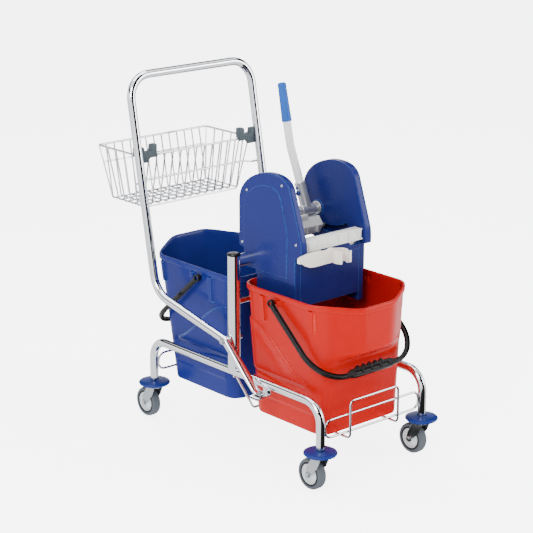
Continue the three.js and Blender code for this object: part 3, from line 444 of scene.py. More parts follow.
def close_mesh(piece: bpy.types.Object, smooth: float = 35.0) -> bpy.types.Object:
    """Caps holes, turns faces outward, bakes the object's place into its mesh, and smooths it.

    Args:
        piece: The piece being made.
        smooth: Edges flatter than this many degrees are shaded smooth.

    Returns:
        The same piece.
    """
    open_mesh(piece)
    bpy.ops.mesh.select_all(action="SELECT")
    bpy.ops.mesh.remove_doubles(threshold=0.00001)
    bpy.ops.mesh.fill_holes(sides=0)
    bpy.ops.mesh.normals_make_consistent(inside=False)
    bpy.ops.object.mode_set(mode="OBJECT")
    bpy.ops.object.transform_apply(location=True, rotation=True, scale=True)
    bpy.ops.object.shade_smooth_by_angle(angle=math.radians(smooth))
    return piece


def start_ring(name: str, sides: int, radius: float, place: Vector, heading: Vector) -> bpy.types.Object:
    """Adds a ring of points facing a heading and opens it with every point selected.

    Args:
        name: The piece's name.
        sides: Points round the ring.
        radius: Its radius in millimetres.
        place: Its centre in the frame.
        heading: The way that it faces.

    Returns:
        The ring, in edit mode.
    """
    clear_bench()
    turn = Vector((0, 0, 1)).rotation_difference(heading).to_euler()
    bpy.ops.mesh.primitive_circle_add(vertices=sides, radius=radius * MM, location=place, rotation=turn)
    piece = bpy.context.active_object
    piece.name = name
    bpy.ops.object.transform_apply(location=True, rotation=True, scale=True)
    bpy.ops.object.mode_set(mode="EDIT")
    bpy.ops.mesh.select_all(action="SELECT")
    return piece


def pull(step: Vector) -> None:
    """Extrudes what is selected by a step."""
    bpy.ops.mesh.extrude_region_move(TRANSFORM_OT_translate={"value": tuple(step)})


def bent_bar(
    name: str,
    corners: Sequence[Point],
    bends: float | Sequence[float],
    radius: float,
    sides: int = 28,
    section: Flat = (1.0, 1.0),
    turn_step: float = 9.0,
) -> bpy.types.Object:
    """Makes a bar along straight runs, with each corner spun to its bend radius.

    Args:
        name: The piece's name.
        corners: Points on the maker's drawing, in millimetres.
        bends: One bend radius, or one for each inner corner.
        radius: The bar's radius.
        sides: Points round the section.
        section: How far the section is stretched along its own two axes.
        turn_step: Degrees of bend between two rings.

    Returns:
        The closed bar.
    """
    points = [at(*corner) for corner in corners]
    heading = (points[1] - points[0]).normalized()
    piece = start_ring(name, sides, radius, points[0], heading)
    if section != (1.0, 1.0):
        bpy.ops.transform.resize(value=(section[0], 1, section[1]), center_override=tuple(points[0]))
    here = points[0]
    for i in range(1, len(points) - 1):
        into = (points[i] - points[i - 1]).normalized()
        out = (points[i + 1] - points[i]).normalized()
        turn = into.angle(out)
        if turn < 0.002:
            pull(points[i] - here)
            here = points[i]
            continue
        bend = (bends[i - 1] if isinstance(bends, Sequence) else bends) * MM
        setback = bend * math.tan(turn / 2)
        start = points[i] - into * setback
        axis = into.cross(out).normalized()
        pull(start - here)
        steps = max(2, round(math.degrees(turn) / turn_step))
        centre = start + axis.cross(into) * bend
        bpy.ops.mesh.spin(steps=steps, angle=-turn, center=tuple(centre), axis=tuple(axis))
        here = points[i] + out * setback
    pull(points[-1] - here)
    return close_mesh(piece)


def turned(
    name: str, profile: Sequence[Flat], place: Vector, heading: Vector, sides: int = 48
) -> bpy.types.Object:
    """Makes a turned piece by drawing a ring along its profile.

    Args:
        name: The piece's name.
        profile: Radius and height pairs in millimetres. Where the last equals the first, the piece is a ring.
        place: Where height 0 of its axis is.
        heading: The way its axis points.
        sides: Points round the axis.

    Returns:
        The closed piece.
    """
    first = profile[0]
    piece = start_ring(name, sides, first[0], Vector((0, 0, first[1] * MM)), Vector((0, 0, 1)))
    for (radius, height), (wider, higher) in zip(profile, profile[1:]):
        pull(Vector((0, 0, (higher - height) * MM)))
        grow = wider / radius
        bpy.ops.transform.resize(value=(grow, grow, 1), center_override=(0, 0, higher * MM))
    bpy.ops.object.mode_set(mode="OBJECT")
    piece.rotation_euler = Vector((0, 0, 1)).rotation_difference(heading).to_euler()
    piece.location = place
    return close_mesh(piece)


def slab(
    name: str,
    outline: Sequence[Flat],
    low: float,
    high: float,
    across: str = "x",
    bevel: float = 0.0,
    steps: int = 3,
) -> bpy.types.Object:
    """Makes a plate of any outline, with rounded edges.

    Args:
        name: The piece's name.
        outline: Points in millimetres: (y, z) for a plate across X, (x, z) across Y, (x, y) across Z.
        low: Where the plate starts along the axis it lies across.
        high: Where it ends.
        across: The axis that the thickness runs along.
        bevel: The rounding of its edges.
        steps: Rings in the rounding.

    Returns:
        The closed plate.
    """
    count = len(outline)
    clear_bench()
    bpy.ops.mesh.primitive_circle_add(vertices=count, radius=1.0, fill_type="NGON")
    piece = bpy.context.active_object
    piece.name = name
    raise_by = Vector([high - low if axis == across else 0 for axis in "xyz"]) * MM
    for vertex in piece.data.vertices:
        a, b = outline[vertex.index]
        spot = {"x": (low, a, b), "y": (a, low, b), "z": (a, b, low)}[across]
        vertex.co = at(*spot)
    bpy.ops.object.mode_set(mode="EDIT")
    bpy.ops.mesh.select_all(action="SELECT")
    pull(raise_by)
    close_mesh(piece)
    if bevel:
        round_edges(piece, bevel, steps)
    return piece


def round_edges(
    piece: bpy.types.Object, width: float, steps: int = 3, angle: float = 32.0
) -> bpy.types.Object:
    """Rounds a piece's sharp edges with an applied bevel and shades it.

    Args:
        piece: The piece.
        width: The rounding in millimetres.
        steps: Rings in the rounding.
        angle: Edges flatter than this many degrees stay as they are.

    Returns:
        The same piece.
    """
    pick(piece)
    bevel = piece.modifiers.new("edge_radius", "BEVEL")
    bevel.width = width * MM
    bevel.segments = steps
    bevel.limit_method = "ANGLE"
    bevel.angle_limit = math.radians(angle)
    bevel.harden_normals = False
    bevel.use_clamp_overlap = True
    bpy.ops.object.modifier_apply(modifier=bevel.name)
    bpy.ops.object.shade_smooth_by_angle(angle=math.radians(40))
    return piece


def brick(name: str, low: Point, high: Point, bevel: float = 0.8) -> bpy.types.Object:
    """Makes a block between two corners on the drawing, with rounded edges.

    Args:
        name: The piece's name.
        low: The corner with the lowest coordinates.
        high: The opposite corner.
        bevel: The rounding of its edges, in millimetres.

    Returns:
        The block.
    """
    clear_bench()
    a, b = at(*low), at(*high)
    bpy.ops.mesh.primitive_cube_add(size=1.0, location=(a + b) / 2, scale=tuple(b - a))
    piece = bpy.context.active_object
    piece.name = name
    close_mesh(piece)
    return round_edges(piece, bevel, 2) if bevel else piece


def carve(piece: bpy.types.Object, *cutters: bpy.types.Object) -> bpy.types.Object:
    """Cuts pieces away from a piece and throws the cutters away.

    Args:
        piece: The piece that is cut.
        cutters: What is cut away.

    Returns:
        The same piece.
    """
    for cutter in cutters:
        pick(piece)
        cut = piece.modifiers.new("cut", "BOOLEAN")
        cut.operation = "DIFFERENCE"
        cut.solver = "EXACT"
        cut.object = cutter
        bpy.ops.object.modifier_apply(modifier=cut.name)
        bpy.data.objects.remove(cutter, do_unlink=True)
    return piece


def weld(name: str, *parts: bpy.types.Object) -> bpy.types.Object:
    """Joins parts of one material into one piece.

    Args:
        name: The joined piece's name.
        parts: The parts, the first of which takes in the others.

    Returns:
        The joined piece.
    """
    pick(parts[0])
    for part in parts[1:]:
        part.select_set(True)
    bpy.ops.object.join()
    parts[0].name = name
    bpy.ops.object.shade_smooth_by_angle(angle=math.radians(40))
    return parts[0]


def copied(piece: bpy.types.Object, name: str, x: float, y: float, z: float) -> bpy.types.Object:
    """Copies a piece with a mesh of its own, and moves the copy.

    Args:
        piece: The piece to copy.
        name: The copy's name.
        x: How far it moves along X, in millimetres.
        y: How far it moves along Y.
        z: How far it moves up.

    Returns:
        The copy.
    """
    pick(piece)
    bpy.ops.object.duplicate()
    twin = bpy.context.active_object
    twin.name = name
    twin.data.transform(Matrix.Translation(Vector((x, y, z)) * MM))
    return twin


def refined(name: str, source: str, bevel: float, steps: int = 2) -> bpy.types.Object:
    """Makes a finished piece from a boxy frame part: its triangles merged and its edges rounded.

    Args:
        name: The finished piece's name.
        source: The frame node that it is made from.
        bevel: The rounding of its edges, in millimetres.
        steps: Rings in the rounding.

    Returns:
        The finished piece.
    """
    piece = bpy.data.objects.new(name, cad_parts[source].data.copy())
    bpy.context.scene.collection.objects.link(piece)
    open_mesh(piece)
    bpy.ops.mesh.select_all(action="SELECT")
    bpy.ops.mesh.remove_doubles(threshold=0.00002)
    bpy.ops.mesh.dissolve_limited(angle_limit=math.radians(1.0))
    bpy.ops.object.mode_set(mode="OBJECT")
    return round_edges(piece, bevel, steps)


def fit(piece: bpy.types.Object, body: str, finish: Finish, *stands_for: str) -> bpy.types.Object:
    """Dresses a finished piece and fixes it to its body.

    Args:
        piece: The finished piece.
        body: The body that it moves with.
        finish: What it is made of.
        stands_for: Frame nodes that it replaces.

    Returns:
        The same piece.
    """
    piece.data.materials.clear()
    piece.data.materials.append(finish.material())
    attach(piece, body)
    if stands_for:
        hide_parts(*stands_for)
    LOG.info("%s: %d faces, on %s", piece.name, len(piece.data.polygons), body)
    return piece


def redress(name: str, finish: Finish) -> None:
    """Gives a frame node that stays in view its finish.

    Args:
        name: The frame node.
        finish: What it is made of.
    """
    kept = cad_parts[name]
    for holder in kept.material_slots:
        holder.material = finish.material()
    LOG.info("%s: frame node kept", name)


# ---------------------------------------------------------------- the chromed frame
@dataclass
class ChromeFrame:
    """The bent tube frame with its posts, crossbars, bolts and push handle. Sizes in millimetres."""

    half_track: float = HALF_TRACK
    half_base: float = HALF_BASE
    rail_z: float = 224.0
    tube: float = 11.0
    post: float = 16.0
    post_top: float = 528.0
    handle_x: float = 203.0
    foot_y: float = -138.0
    tongue_z: float = 205.8
    knee: Flat = (-4.0, 312.0)
    elbow: Flat = HANDLE_ELBOW
    top: Flat = HANDLE_TOP

    def build(self) -> None:
        """Builds every piece of the frame."""
        for name, side in SIDES:
            self.side_rail(name, side)
            self.upright(name, side)
            self.bolts(name, side)
        self.crossbars()
        self.push_handle()

    def side_rail(self, name: str, side: int) -> None:
        """Bends one side rail with its two legs and welds on the handle's tab.

        Args:
            name: Which side, in words.
            side: Which side, as -1 or 1.
        """
        x, base, z = side * self.half_track, self.half_base, self.rail_z
        legs = [(x, -base, 113.5), (x, -base, z), (x, base, z), (x, base, 113.5)]
        rail = bent_bar(f"{name}_rail", legs, 52.0, self.tube, sides=36, turn_step=6)
        parts = [rail]
        for end in (-1, 1):
            sleeve = [(7.4, 109.4), (7.4, 114.5), (8.6, 114.5), (8.6, 109.4), (7.4, 109.4)]
            parts.append(turned("sleeve", sleeve, at(x, end * base, 0), Vector((0, 0, 1)), 32))
        tab_low, tab_high = self.foot_y - 14, self.foot_y + 14
        inner, outer = side * (self.half_track + 4), side * (self.handle_x + 15)
        bend = inner + 3 * side
        tab = [(inner, 217), (inner, 200), (outer, 200), (outer, 203), (bend, 203), (bend, 217)]
        parts.append(slab("tab", tab, tab_low, tab_high, across="y", bevel=0.8, steps=2))
        fit(weld(f"{name}_rail", *parts), "frame", CHROME, f"{name}_side_frame")

    def upright(self, name: str, side: int) -> None:
        """Turns one post and its push-in cap.

        Args:
            name: Which side, in words.
            side: Which side, as -1 or 1.
        """
        place = at(side * self.half_track, POST_Y, 0)
        up = Vector((0, 0, 1))
        top = self.post_top
        wall = [(self.post, self.rail_z + 3), (self.post, top - 0.8), (self.post - 0.8, top)]
        fit(turned(f"{name}_upright", wall, place, up, 56), "frame", CHROME, f"{name}_post")
        crown = [(16.6, top + 0.2), (17.2, top + 0.8), (17.2, top + 2.6), (16.4, top + 4.2)]
        crown += [(14.5, top + 5.1), (9.0, top + 5.5), (0.6, top + 5.6)]
        fit(turned(f"{name}_crown", crown, place, up, 48), "frame", BLACK_PP, f"{name}_post_cap")

    def bolts(self, name: str, side: int) -> None:
        """Makes the bolt through the handle and post, and the one through the tab.

        Args:
            name: Which side, in words.
            side: Which side, as -1 or 1.
        """
        out = Vector((side, 0, 0))
        outer = self.handle_x + self.tube
        place = at(0, POST_Y, 312)
        ring = [(9.2, outer + 0.3), (9.2, outer + 1.4), (4.0, outer + 1.4)]
        washer = turned("washer", ring, place, out, 32)
        head = [(7.4, outer + 1.4), (7.4, outer + 4.6), (5.6, outer + 5.2), (0.5, outer + 5.3)]
        cap = turned("bolt_head", head, place, out, 6)
        inner = self.half_track - self.post
        nut = turned("bolt_nut", [(7.4, inner - 6.3), (7.4, inner - 0.3)], place, out, 6)
        shank = turned("shank", [(4, inner - 6), (4, outer + 1)], place, out, 20)
        cap, nut = round_edges(cap, 0.5, 2), round_edges(nut, 0.6, 2)
        through = weld(f"{name}_through_bolt", cap, washer, nut, shank)
        fit(through, "frame", ZINC, f"{name}_post_bolt")
        foot = at(side * self.handle_x, self.foot_y, 0)
        up = Vector((0, 0, 1))
        head = turned("bolt_head", [(7.4, 209.8), (7.4, 213), (5.4, 213.8), (0.5, 213.9)], foot, up, 6)
        washer = turned("washer", [(9.0, 208.6), (9.0, 209.8), (4.0, 209.8)], foot, up, 32)
        nut = turned("bolt_nut", [(7.4, 193.7), (7.4, 199.7)], foot, up, 6)
        shank = turned("shank", [(3.9, 194), (3.9, 210)], foot, up, 20)
        head, nut = round_edges(head, 0.5, 2), round_edges(nut, 0.6, 2)
        clamp = weld(f"{name}_clamp_bolt", head, washer, nut, shank)
        fit(clamp, "frame", ZINC, f"{name}_tab_bolt")

    def crossbars(self) -> None:
        """Turns the two bars between the posts."""
        reach = self.half_track - 8
        for name, radius, z in (("upper", 16.0, 511.0), ("lower", 8.0, 406.0)):
            ends = [(radius, -reach), (radius, reach)]
            bar = turned(f"{name}_tie_bar", ends, at(0, POST_Y, z), Vector((1, 0, 0)), 48)
            fit(bar, "frame", CHROME, f"{name}_crossbar")

    def push_handle(self) -> None:
        """Bends the long handle tube in one run and flattens its two feet."""
        run = [
            (-self.handle_x, self.foot_y - 16, self.tongue_z - 5),
            (-self.handle_x, self.foot_y + 8, self.tongue_z + 4),
            (-self.handle_x, self.foot_y + 22, self.tongue_z + 13.5),
            (-self.handle_x, *self.knee),
            (-self.handle_x, *self.elbow),
            (-self.handle_x, *self.top),
        ]
        corners = run + [(-x, y, z) for x, y, z in reversed(run)]
        half = [0.1, 0.1, 34.0, 70.0, 62.0]
        handle = bent_bar("push_tube", corners, half + half[::-1], self.tube, sides=36, turn_step=6)
        lean = (self.knee[1] - self.tongue_z - 13.5) / (self.knee[0] - self.foot_y - 22)
        for vertex in handle.data.vertices:
            y = (vertex.co.y - SHIFT_Y) / MM
            if y > self.foot_y + 44 or vertex.co.z / MM > 250:
                continue
            self._press_flat(vertex, y, lean)
        fit(handle, "frame", CHROME, "push_handle")

    def _press_flat(self, vertex: bpy.types.MeshVertex, y: float, lean: float) -> None:
        """Moves a point of the tube's end towards the pressed, widened tongue.

        Args:
            vertex: The point.
            y: Where it lies along the drawing, in millimetres.
            lean: How steeply the tube climbs from its foot.
        """
        squeeze = ease((self.foot_y + 34 - y) / 26)
        axis_z = self.tongue_z + 13.5 + lean * (y - self.foot_y - 22)
        flat_z = self.tongue_z + 0.3
        off = vertex.co.z / MM - axis_z
        side = 1 if vertex.co.x > 0 else -1
        off_x = vertex.co.x / MM - side * self.handle_x
        vertex.co.z = mix(vertex.co.z / MM, flat_z + off * 0.22, squeeze) * MM
        vertex.co.x = (side * self.handle_x + off_x * mix(1.0, 1.18, squeeze)) * MM


@dataclass
class WireWork:
    """The four bent wires that hold the buckets. Sizes in millimetres."""

    wire: float = 3.0
    reach: float = 160.7
    half_base: float = HALF_BASE
    stop_y: float = 332.3

    def build(self) -> None:
        """Bends the end loops, the cradle and the middle hanger."""
        for name, y in (("front", -self.half_base), ("rear", self.half_base)):
            r = self.reach
            loop = [(0.1, y, 133), (r, y, 133), (r, y, 178), (-r, y, 178), (-r, y, 133), (-0.1, y, 133)]
            fit(bent_bar(f"{name}_end_loop", loop, 21.5, self.wire, 16), "frame", CHROME, f"{name}_wire_loop")
        s, w, low, high = self.stop_y, 82.0, 116.0, 213.0
        cradle = [(-0.1, s, high), (-w, s, high), (-w, s, low), (-w, -s, low), (-w, -s, high)]
        cradle += [(-x, y, z) for x, y, z in reversed(cradle)]
        fit(bent_bar("cradle_wire", cradle, 12.0, self.wire, 16), "frame", CHROME, "bucket_cradle")
        hang = [(-177, POST_Y, 209.7), (-169, POST_Y, 209.7), (-112, POST_Y, 109.7)]
        hang += [(-x, y, z) for x, y, z in reversed(hang)]
        fit(bent_bar("hanger_wire", hang, [6, 12, 12, 6], self.wire, 16), "frame", CHROME, "middle_hanger")


@dataclass
class Basket:
    """The welded wire basket and its two clips on the handle tubes. Sizes in millimetres."""

    rim_half: float = 184.0
    foot_half: float = 160.0
    rim_z: float = 716.0
    depth: float = 141.0
    inset: float = 27.0
    wire: float = 2.1
    rim_wire: float = 2.8
    ribs_across: int = 13
    ribs_along: int = 6

    def front_y(self) -> float:
        """Returns where the rim's front wire lies, just behind the leaning handle."""
        return handle_y(self.rim_z) + 14

    def build(self) -> None:
        """Bends the rim and ribs, welds them and adds the clips."""
        y0 = self.front_y()
        y1 = y0 + 189
        z = self.rim_z
        h = self.rim_half
        corners = [(0.1, y0, z), (h, y0, z), (h, y1, z), (-h, y1, z), (-h, y0, z), (-0.1, y0, z)]
        parts = [bent_bar("rim", corners, 9.0, self.rim_wire, 14)]
        first = -self.foot_half
        rib = self.rib((first, y0), (first, y0 + self.inset), (first, y1), 0.0)
        pitch = 2 * self.foot_half / (self.ribs_across - 1)
        parts += [rib] + [copied(rib, "rib", i * pitch, 0, 0) for i in range(1, self.ribs_across)]
        for i in range(self.ribs_along):
            t = i / (self.ribs_along - 1)
            y = mix(y0 + 4, y1 - 4, t)
            foot = mix(y0 + self.inset, y1 - self.inset, t)
            parts.append(self.rib((-h, y), (-self.foot_half, foot), (h, y), 3.4))
        parts += self.braces(y0, y1)
        fit(weld("wire_basket_bent", *parts), "frame", CHROME, "wire_basket")
        for name, _ in SIDES:
            clip = refined(f"{name}_moulded_clip", f"{name}_basket_clip", 1.1)
            fit(clip, "frame", SLATE_PA, f"{name}_basket_clip")

    def rib(self, start: Flat, foot: Flat, end: Flat, drop: float) -> bpy.types.Object:
        """Bends one U-shaped rib from rim to rim, under the floor by a drop.

        Args:
            start: Where it leaves the rim.
            foot: Where it first meets the floor.
            end: Where it comes back to the rim.
            drop: How far under the floor it runs. Only ribs that run across have one.

        Returns:
            The rib.
        """
        low = self.rim_z - self.depth - drop
        if drop:
            points = [(*start, self.rim_z), (*foot, low), (-foot[0], foot[1], low), (*end, self.rim_z)]
        else:
            back = end[1] - self.inset
            points = [(*start, self.rim_z), (*foot, low), (foot[0], back, low), (*end, self.rim_z)]
        return bent_bar("rib", points, 7.0, self.wire, 10, turn_step=20)

    def braces(self, y0: float, y1: float) -> list[bpy.types.Object]:
        """Bends the wires that stiffen the front and rear faces.

        Args:
            y0: Where the front of the rim lies.
            y1: Where the back of the rim lies.

        Returns:
            The front and the rear brace.
        """
        z = self.rim_z - 66
        share = 66 / self.depth
        tube_y = handle_y(z) + 14.2
        rib_y = y0 + self.inset * share - 4
        half = mix(self.rim_half, self.foot_half, share) + 6
        side = [(-213, tube_y, z), (-half - 6, tube_y, z), (-half + 8, rib_y, z)]
        front = side + [(-x, y, z) for x, y, z in reversed(side)]
        back_y = y1 - self.inset * 0.33 + 3.6
        back_half = mix(self.rim_half, self.foot_half, 0.33) - 3
        rear = [(x, back_y, self.rim_z - 47) for x in (-back_half, 0, back_half)]
        front_brace = bent_bar("brace", front, 8.0, self.rim_wire, 12)
        return [front_brace, bent_bar("rear_brace", rear, 1.0, self.wire, 10)]


# ---------------------------------------------------------------- casters
@dataclass(frozen=True)
class CasterPiece:
    """One modelled piece: the last words of its body and of the node it replaces, and its finish."""

    piece: bpy.types.Object
    body: str
    finish: Finish
    stands_for: str


@dataclass
class Caster:
    """One swivel caster with its bumper disc, modelled on the trolley's centre line. Sizes in millimetres."""

    radius: float = 40.0
    trail: float = 28.0

    def model(self) -> list[CasterPiece]:
        """Models the disc, fork, axle and wheel.

        Returns:
            The pieces.
        """
        up = Vector((0, 0, 1))
        stem = at(0, 0, 0)
        disc = [
            (5.9, 95.2), (24, 95.2), (34, 96.2), (39.5, 98.2), (41.7, 101), (41.9, 103), (40.6, 105),
            (37, 106.6), (28, 107.8), (16, 108.6), (13.4, 108.9), (12.6, 107.2), (10.2, 106.6), (5.9, 106.6),
            (5.9, 95.2),
        ]
        bumper = CasterPiece(turned("disc", disc, stem, up, 64), "frame", BUMPER_PE, "bumper")
        return [bumper, self.fork(stem, up), self.axle(), *self.wheel()]

    def fork(self, stem: Vector, up: Vector) -> CasterPiece:
        """Presses the fork's two blades with the bearing cup and the grip stem.

        Args:
            stem: The foot of the stem's axis.
            up: The way that axis points.

        Returns:
            The fork.
        """
        cup = [(5.4, 94.6), (17.5, 94.6), (18.6, 93.4), (18.6, 89.5), (16.2, 86.8), (13, 85.6), (5.4, 85.6)]
        parts = [turned("cup", [*cup, cup[0]], stem, up, 48)]
        parts.append(turned("stem", [(5.5, 88), (5.5, 149), (4.5, 150)], stem, up, 28))
        blade = self.blade()
        for side in (-1, 1):
            low, high = sorted((side * 13.4, side * 15.8))
            parts.append(slab("blade", blade, low, high, bevel=0.8, steps=2))
        crown = [(-15.8, -14), (15.8, -14), (15.8, 17), (-15.8, 17)]
        parts.append(slab("crown", crown, 88.4, 91.0, across="z", bevel=0.9, steps=2))
        return CasterPiece(weld("pressed_fork", *parts), "swivel", ZINC, "fork")

    def axle(self) -> CasterPiece:
        """Turns the axle and its two nuts.

        Returns:
            The axle.
        """
        centre = at(0, self.trail, self.radius)
        out = Vector((1, 0, 0))
        bolt = [turned("axle", [(4, -18.5), (4, 18.5)], centre, out, 20)]
        nut = [(6.6, 16.1), (6.6, 19.4), (4.6, 20.1), (0.5, 20.2)]
        for side in (-1, 1):
            bolt.append(round_edges(turned("nut", nut, centre, out * side, 6), 0.4, 2))
        return CasterPiece(weld("axle_bolt", *bolt), "swivel", ZINC, "axle")

    def blade(self) -> list[Flat]:
        """Returns the blade's outline: wide under the cup, narrowing to a round eye at the axle."""
        points = [(-14, 91.0), (-15, 88), (-14, 84), (-6, 66), (8, 50)]
        points += arc((self.trail, self.radius), 9.0, 165, 375, 14)
        return points + [(33, 58), (25, 72), (18, 83), (17, 91.0)]

    def wheel(self) -> list[CasterPiece]:
        """Moulds the tyre, the hub and the dark guard rings.

        Returns:
            The three pieces.
        """
        centre = at(0, self.trail, self.radius)
        out = Vector((1, 0, 0))
        tread = [
            (30.9, -11.0), (35.5, -12.0), (37.8, -11.0), (39.3, -8.6), (39.95, -5), (40.0, 0), (39.95, 5),
            (39.3, 8.6), (37.8, 11.0), (35.5, 12.0), (30.9, 11.0), (30.9, -11.0),
        ]
        hub = [
            (4.6, -12.4), (8.2, -12.4), (9.4, -11.4), (10.6, -7.4), (23.0, -5.4), (24.6, -9.8), (26.0, -10.4),
            (26.0, 10.4), (24.6, 9.8), (23.0, 5.4), (10.6, 7.4), (9.4, 11.4), (8.2, 12.4), (4.6, 12.4),
            (4.6, -12.4),
        ]
        ring = [(26.1, -11.2), (28.6, -11.9), (30.8, -11.3), (30.8, 11.3), (28.6, 11.9), (26.1, 11.2)]
        return [
            CasterPiece(turned("tread", tread, centre, out, 72), "wheel", TYRE_RUBBER, "tyre"),
            CasterPiece(turned("moulded_hub", hub, centre, out, 56), "wheel", HUB_PP, "hub"),
            CasterPiece(turned("guard_ring", [*ring, ring[0]], centre, out, 56), "wheel", THREAD_GUARD, ""),
        ]


@dataclass
class CasterSet:
    """The four casters, copied from one pattern. Sizes in millimetres."""

    half_track: float = HALF_TRACK
    half_base: float = HALF_BASE

    def build(self) -> None:
        """Copies the pattern to each leg and throws the pattern away."""
        pattern = Caster().model()
        for corner, side, end in CORNERS:
            for part in pattern:
                name = f"{corner}_{part.piece.name}"
                copy = copied(part.piece, name, side * self.half_track, end * self.half_base, 0)
                body = part.body if part.body == "frame" else f"{corner}_{part.body}"
                replaced = [f"{corner}_{part.stands_for}"] if part.stands_for else []
                fit(copy, body, part.finish, *replaced)
        for part in pattern:
            bpy.data.objects.remove(part.piece, do_unlink=True)


# ---------------------------------------------------------------- buckets
@dataclass(frozen=True)
class Front:
    """How one bucket's front differs from the other's.

    The rim ends at rim, the spout bows out by bow and rises by rise, and the bail reaches bail from its pins.
    """

    rim: float
    bow: float
    rise: float
    bail: float


RED_FRONT = Front(rim=290.0, bow=45.0, rise=-13.0, bail=241.0)
BLUE_FRONT = Front(rim=330.0, bow=46.0, rise=17.0, bail=266.0)


@dataclass
class Bucket:
    """A moulded bucket with a bowed spout end.

    It is drawn with its back at 0 and its spout along -Y, in millimetres.
    """

    colour: str
    finish: Finish
    front: Front
    shift: float
    turned_round: bool
    bottom_z: float = 119.6
    rim_z: float = 457.0
    bottom_half: float = 136.0
    rim_half: float = 155.0
    bottom_back: float = 28.0
    rim_back: float = 7.0
    bottom_front: float = 286.0
    corner: float = 42.0
    bow_foot: float = 295.0
    bow_full: float = 335.0
    around: int = 440

    def build(self) -> None:
        """Draws the shell ring by ring, from the foot over the rim to the floor, and adds the pins that its
        bail turns on.
        """
        rings = self.rings()
        clear_bench()
        bpy.ops.mesh.primitive_circle_add(vertices=self.around, radius=1.0)
        shell = bpy.context.active_object
        shell.name = f"{self.colour}_moulded_bucket"
        bpy.ops.object.mode_set(mode="EDIT")
        bpy.ops.mesh.select_all(action="SELECT")
        for _ in rings[1:]:
            pull(Vector((0, 0, 1)))
        bpy.ops.object.mode_set(mode="OBJECT")
        spots = []
        for vertex in shell.data.vertices:
            share = (math.atan2(vertex.co.y, vertex.co.x) / (2 * math.pi)) % 1.0
            step = round(share * self.around) % self.around
            level = rings[round(vertex.co.z)]
            spots.append(self.placed(*self.on_wall(step / self.around, *level)))
        for vertex, spot in zip(shell.data.vertices, spots):
            vertex.co = spot
        close_mesh(shell, 50)
        bosses = [self.boss(side) for side in (-1, 1)]
        piece = weld(f"{self.colour}_moulded_bucket", shell, *bosses)
        fit(piece, f"{self.colour}_bucket", self.finish, f"{self.colour}_bucket")

    def rings(self) -> list[tuple[float, float, bool]]:
        """Returns (inset, height, patterned) for each ring of the shell."""
        z0, z1 = self.bottom_z, self.rim_z
        foot = [(9.0, z0, False), (4.0, z0, False), (1.2, z0 + 1.2, False), (0.2, z0 + 4, False)]
        wall = [(0.0, z0 + 7 + (z1 - 15 - z0 - 7) * i / 120, True) for i in range(121)]
        curl = [(-2.0, 14.2), (-4.2, 13.4), (-4.9, 11.6), (-4.9, 5), (-4.2, 2.0), (-2.6, 0.5)]
        curl += [(-0.6, 0), (1.4, 0.5), (2.6, 2.4)]
        bead = [(inset, z1 - down, False) for inset, down in curl]
        inner = [(3.0, mix(z1 - 8, z0 + 12, i / 39), True) for i in range(40)]
        floor = [(4.2, z0 + 7, False), (7.0, z0 + 4.6, False), (12.0, z0 + 4.0, False)]
        return foot + wall + bead + inner + floor

    def on_wall(self, turn: float, inset: float, z: float, patterned: bool) -> Point:
        """Places one point of a ring.

        Args:
            turn: How far round the outline, from 0 to 1.
            inset: How far inside the outer wall.
            z: The ring's height.
            patterned: Whether the moulded pattern applies to the ring.

        Returns:
            The point on the drawing of the bucket.
        """
        half, back, front = self.rim_half - inset, -self.rim_back - inset, -self.front.rim + inset
        radius = self.corner - inset
        x, y = rounded_box_point(turn, half, front, back, radius)
        rise = (z - self.bottom_z) / (self.rim_z - self.bottom_z)
        along = (y + self.rim_back) / (self.rim_back - self.front.rim)
        across = x / self.rim_half
        bowed = ease((1 - abs(across)) / 0.75) * ease((along - 0.55) / 0.45)
        swell = self.front.bow * bowed * ease((z - self.bow_foot) / (self.bow_full - self.bow_foot))
        width = mix(self.bottom_half, self.rim_half, rise)
        near = mix(self.bottom_back, self.rim_back, rise)
        depth = mix(near, mix(self.bottom_front, self.front.rim, rise), along)
        lifted = self.front.rise * bowed * ease((z - self.bow_full) / 100)
        point = Vector((across * width, -depth - swell, z + lifted))
        if patterned:
            point += self.relief(across, along, z)
        return tuple(point)

    def relief(self, across: float, along: float, z: float) -> Vector:
        """Returns how far the moulded pattern stands out at a point of the outer wall.

        Args:
            across: How far from the middle, from -1 to 1.
            along: How far from back to front, from 0 to 1.
            z: The height.

        Returns:
            The step outward, in millimetres.
        """
        if abs(across) > 0.9 and 0.02 < along < 0.96:
            return Vector((math.copysign(self._side_relief(along, z), across), 0, 0))
        return Vector((0, 0, 0))

    def _side_relief(self, along: float, z: float) -> float:
        """Returns the relief of a side: a swept shoulder, three sunk slots below the rim and a panel.

        Args:
            along: How far from back to front, from 0 to 1.
            z: The height.

        Returns:
            How far the side stands out, in millimetres.
        """
        shoulder = 372 - 128 * ease((along - 0.1) / 0.75)
        out = 5.0 * ease((shoulder - z) / 5) * ease((z - 232) / 10) * ease((0.82 - along) / 0.05)
        for spot, low, wide in ((0.9, 385, 0.024), (0.505, 424, 0.018), (0.28, 374, 0.026)):
            inside = ease((wide - abs(along - spot)) / 0.006) * ease((z - low) / 3) * ease((442 - z) / 3)
            out -= 7.0 * inside
        panel = ease((240 - 40 * along - z) / 5) * ease((z - 168) / 6)
        return out - 2.2 * panel * ease((along - 0.1) / 0.03) * ease((0.93 - along) / 0.03)

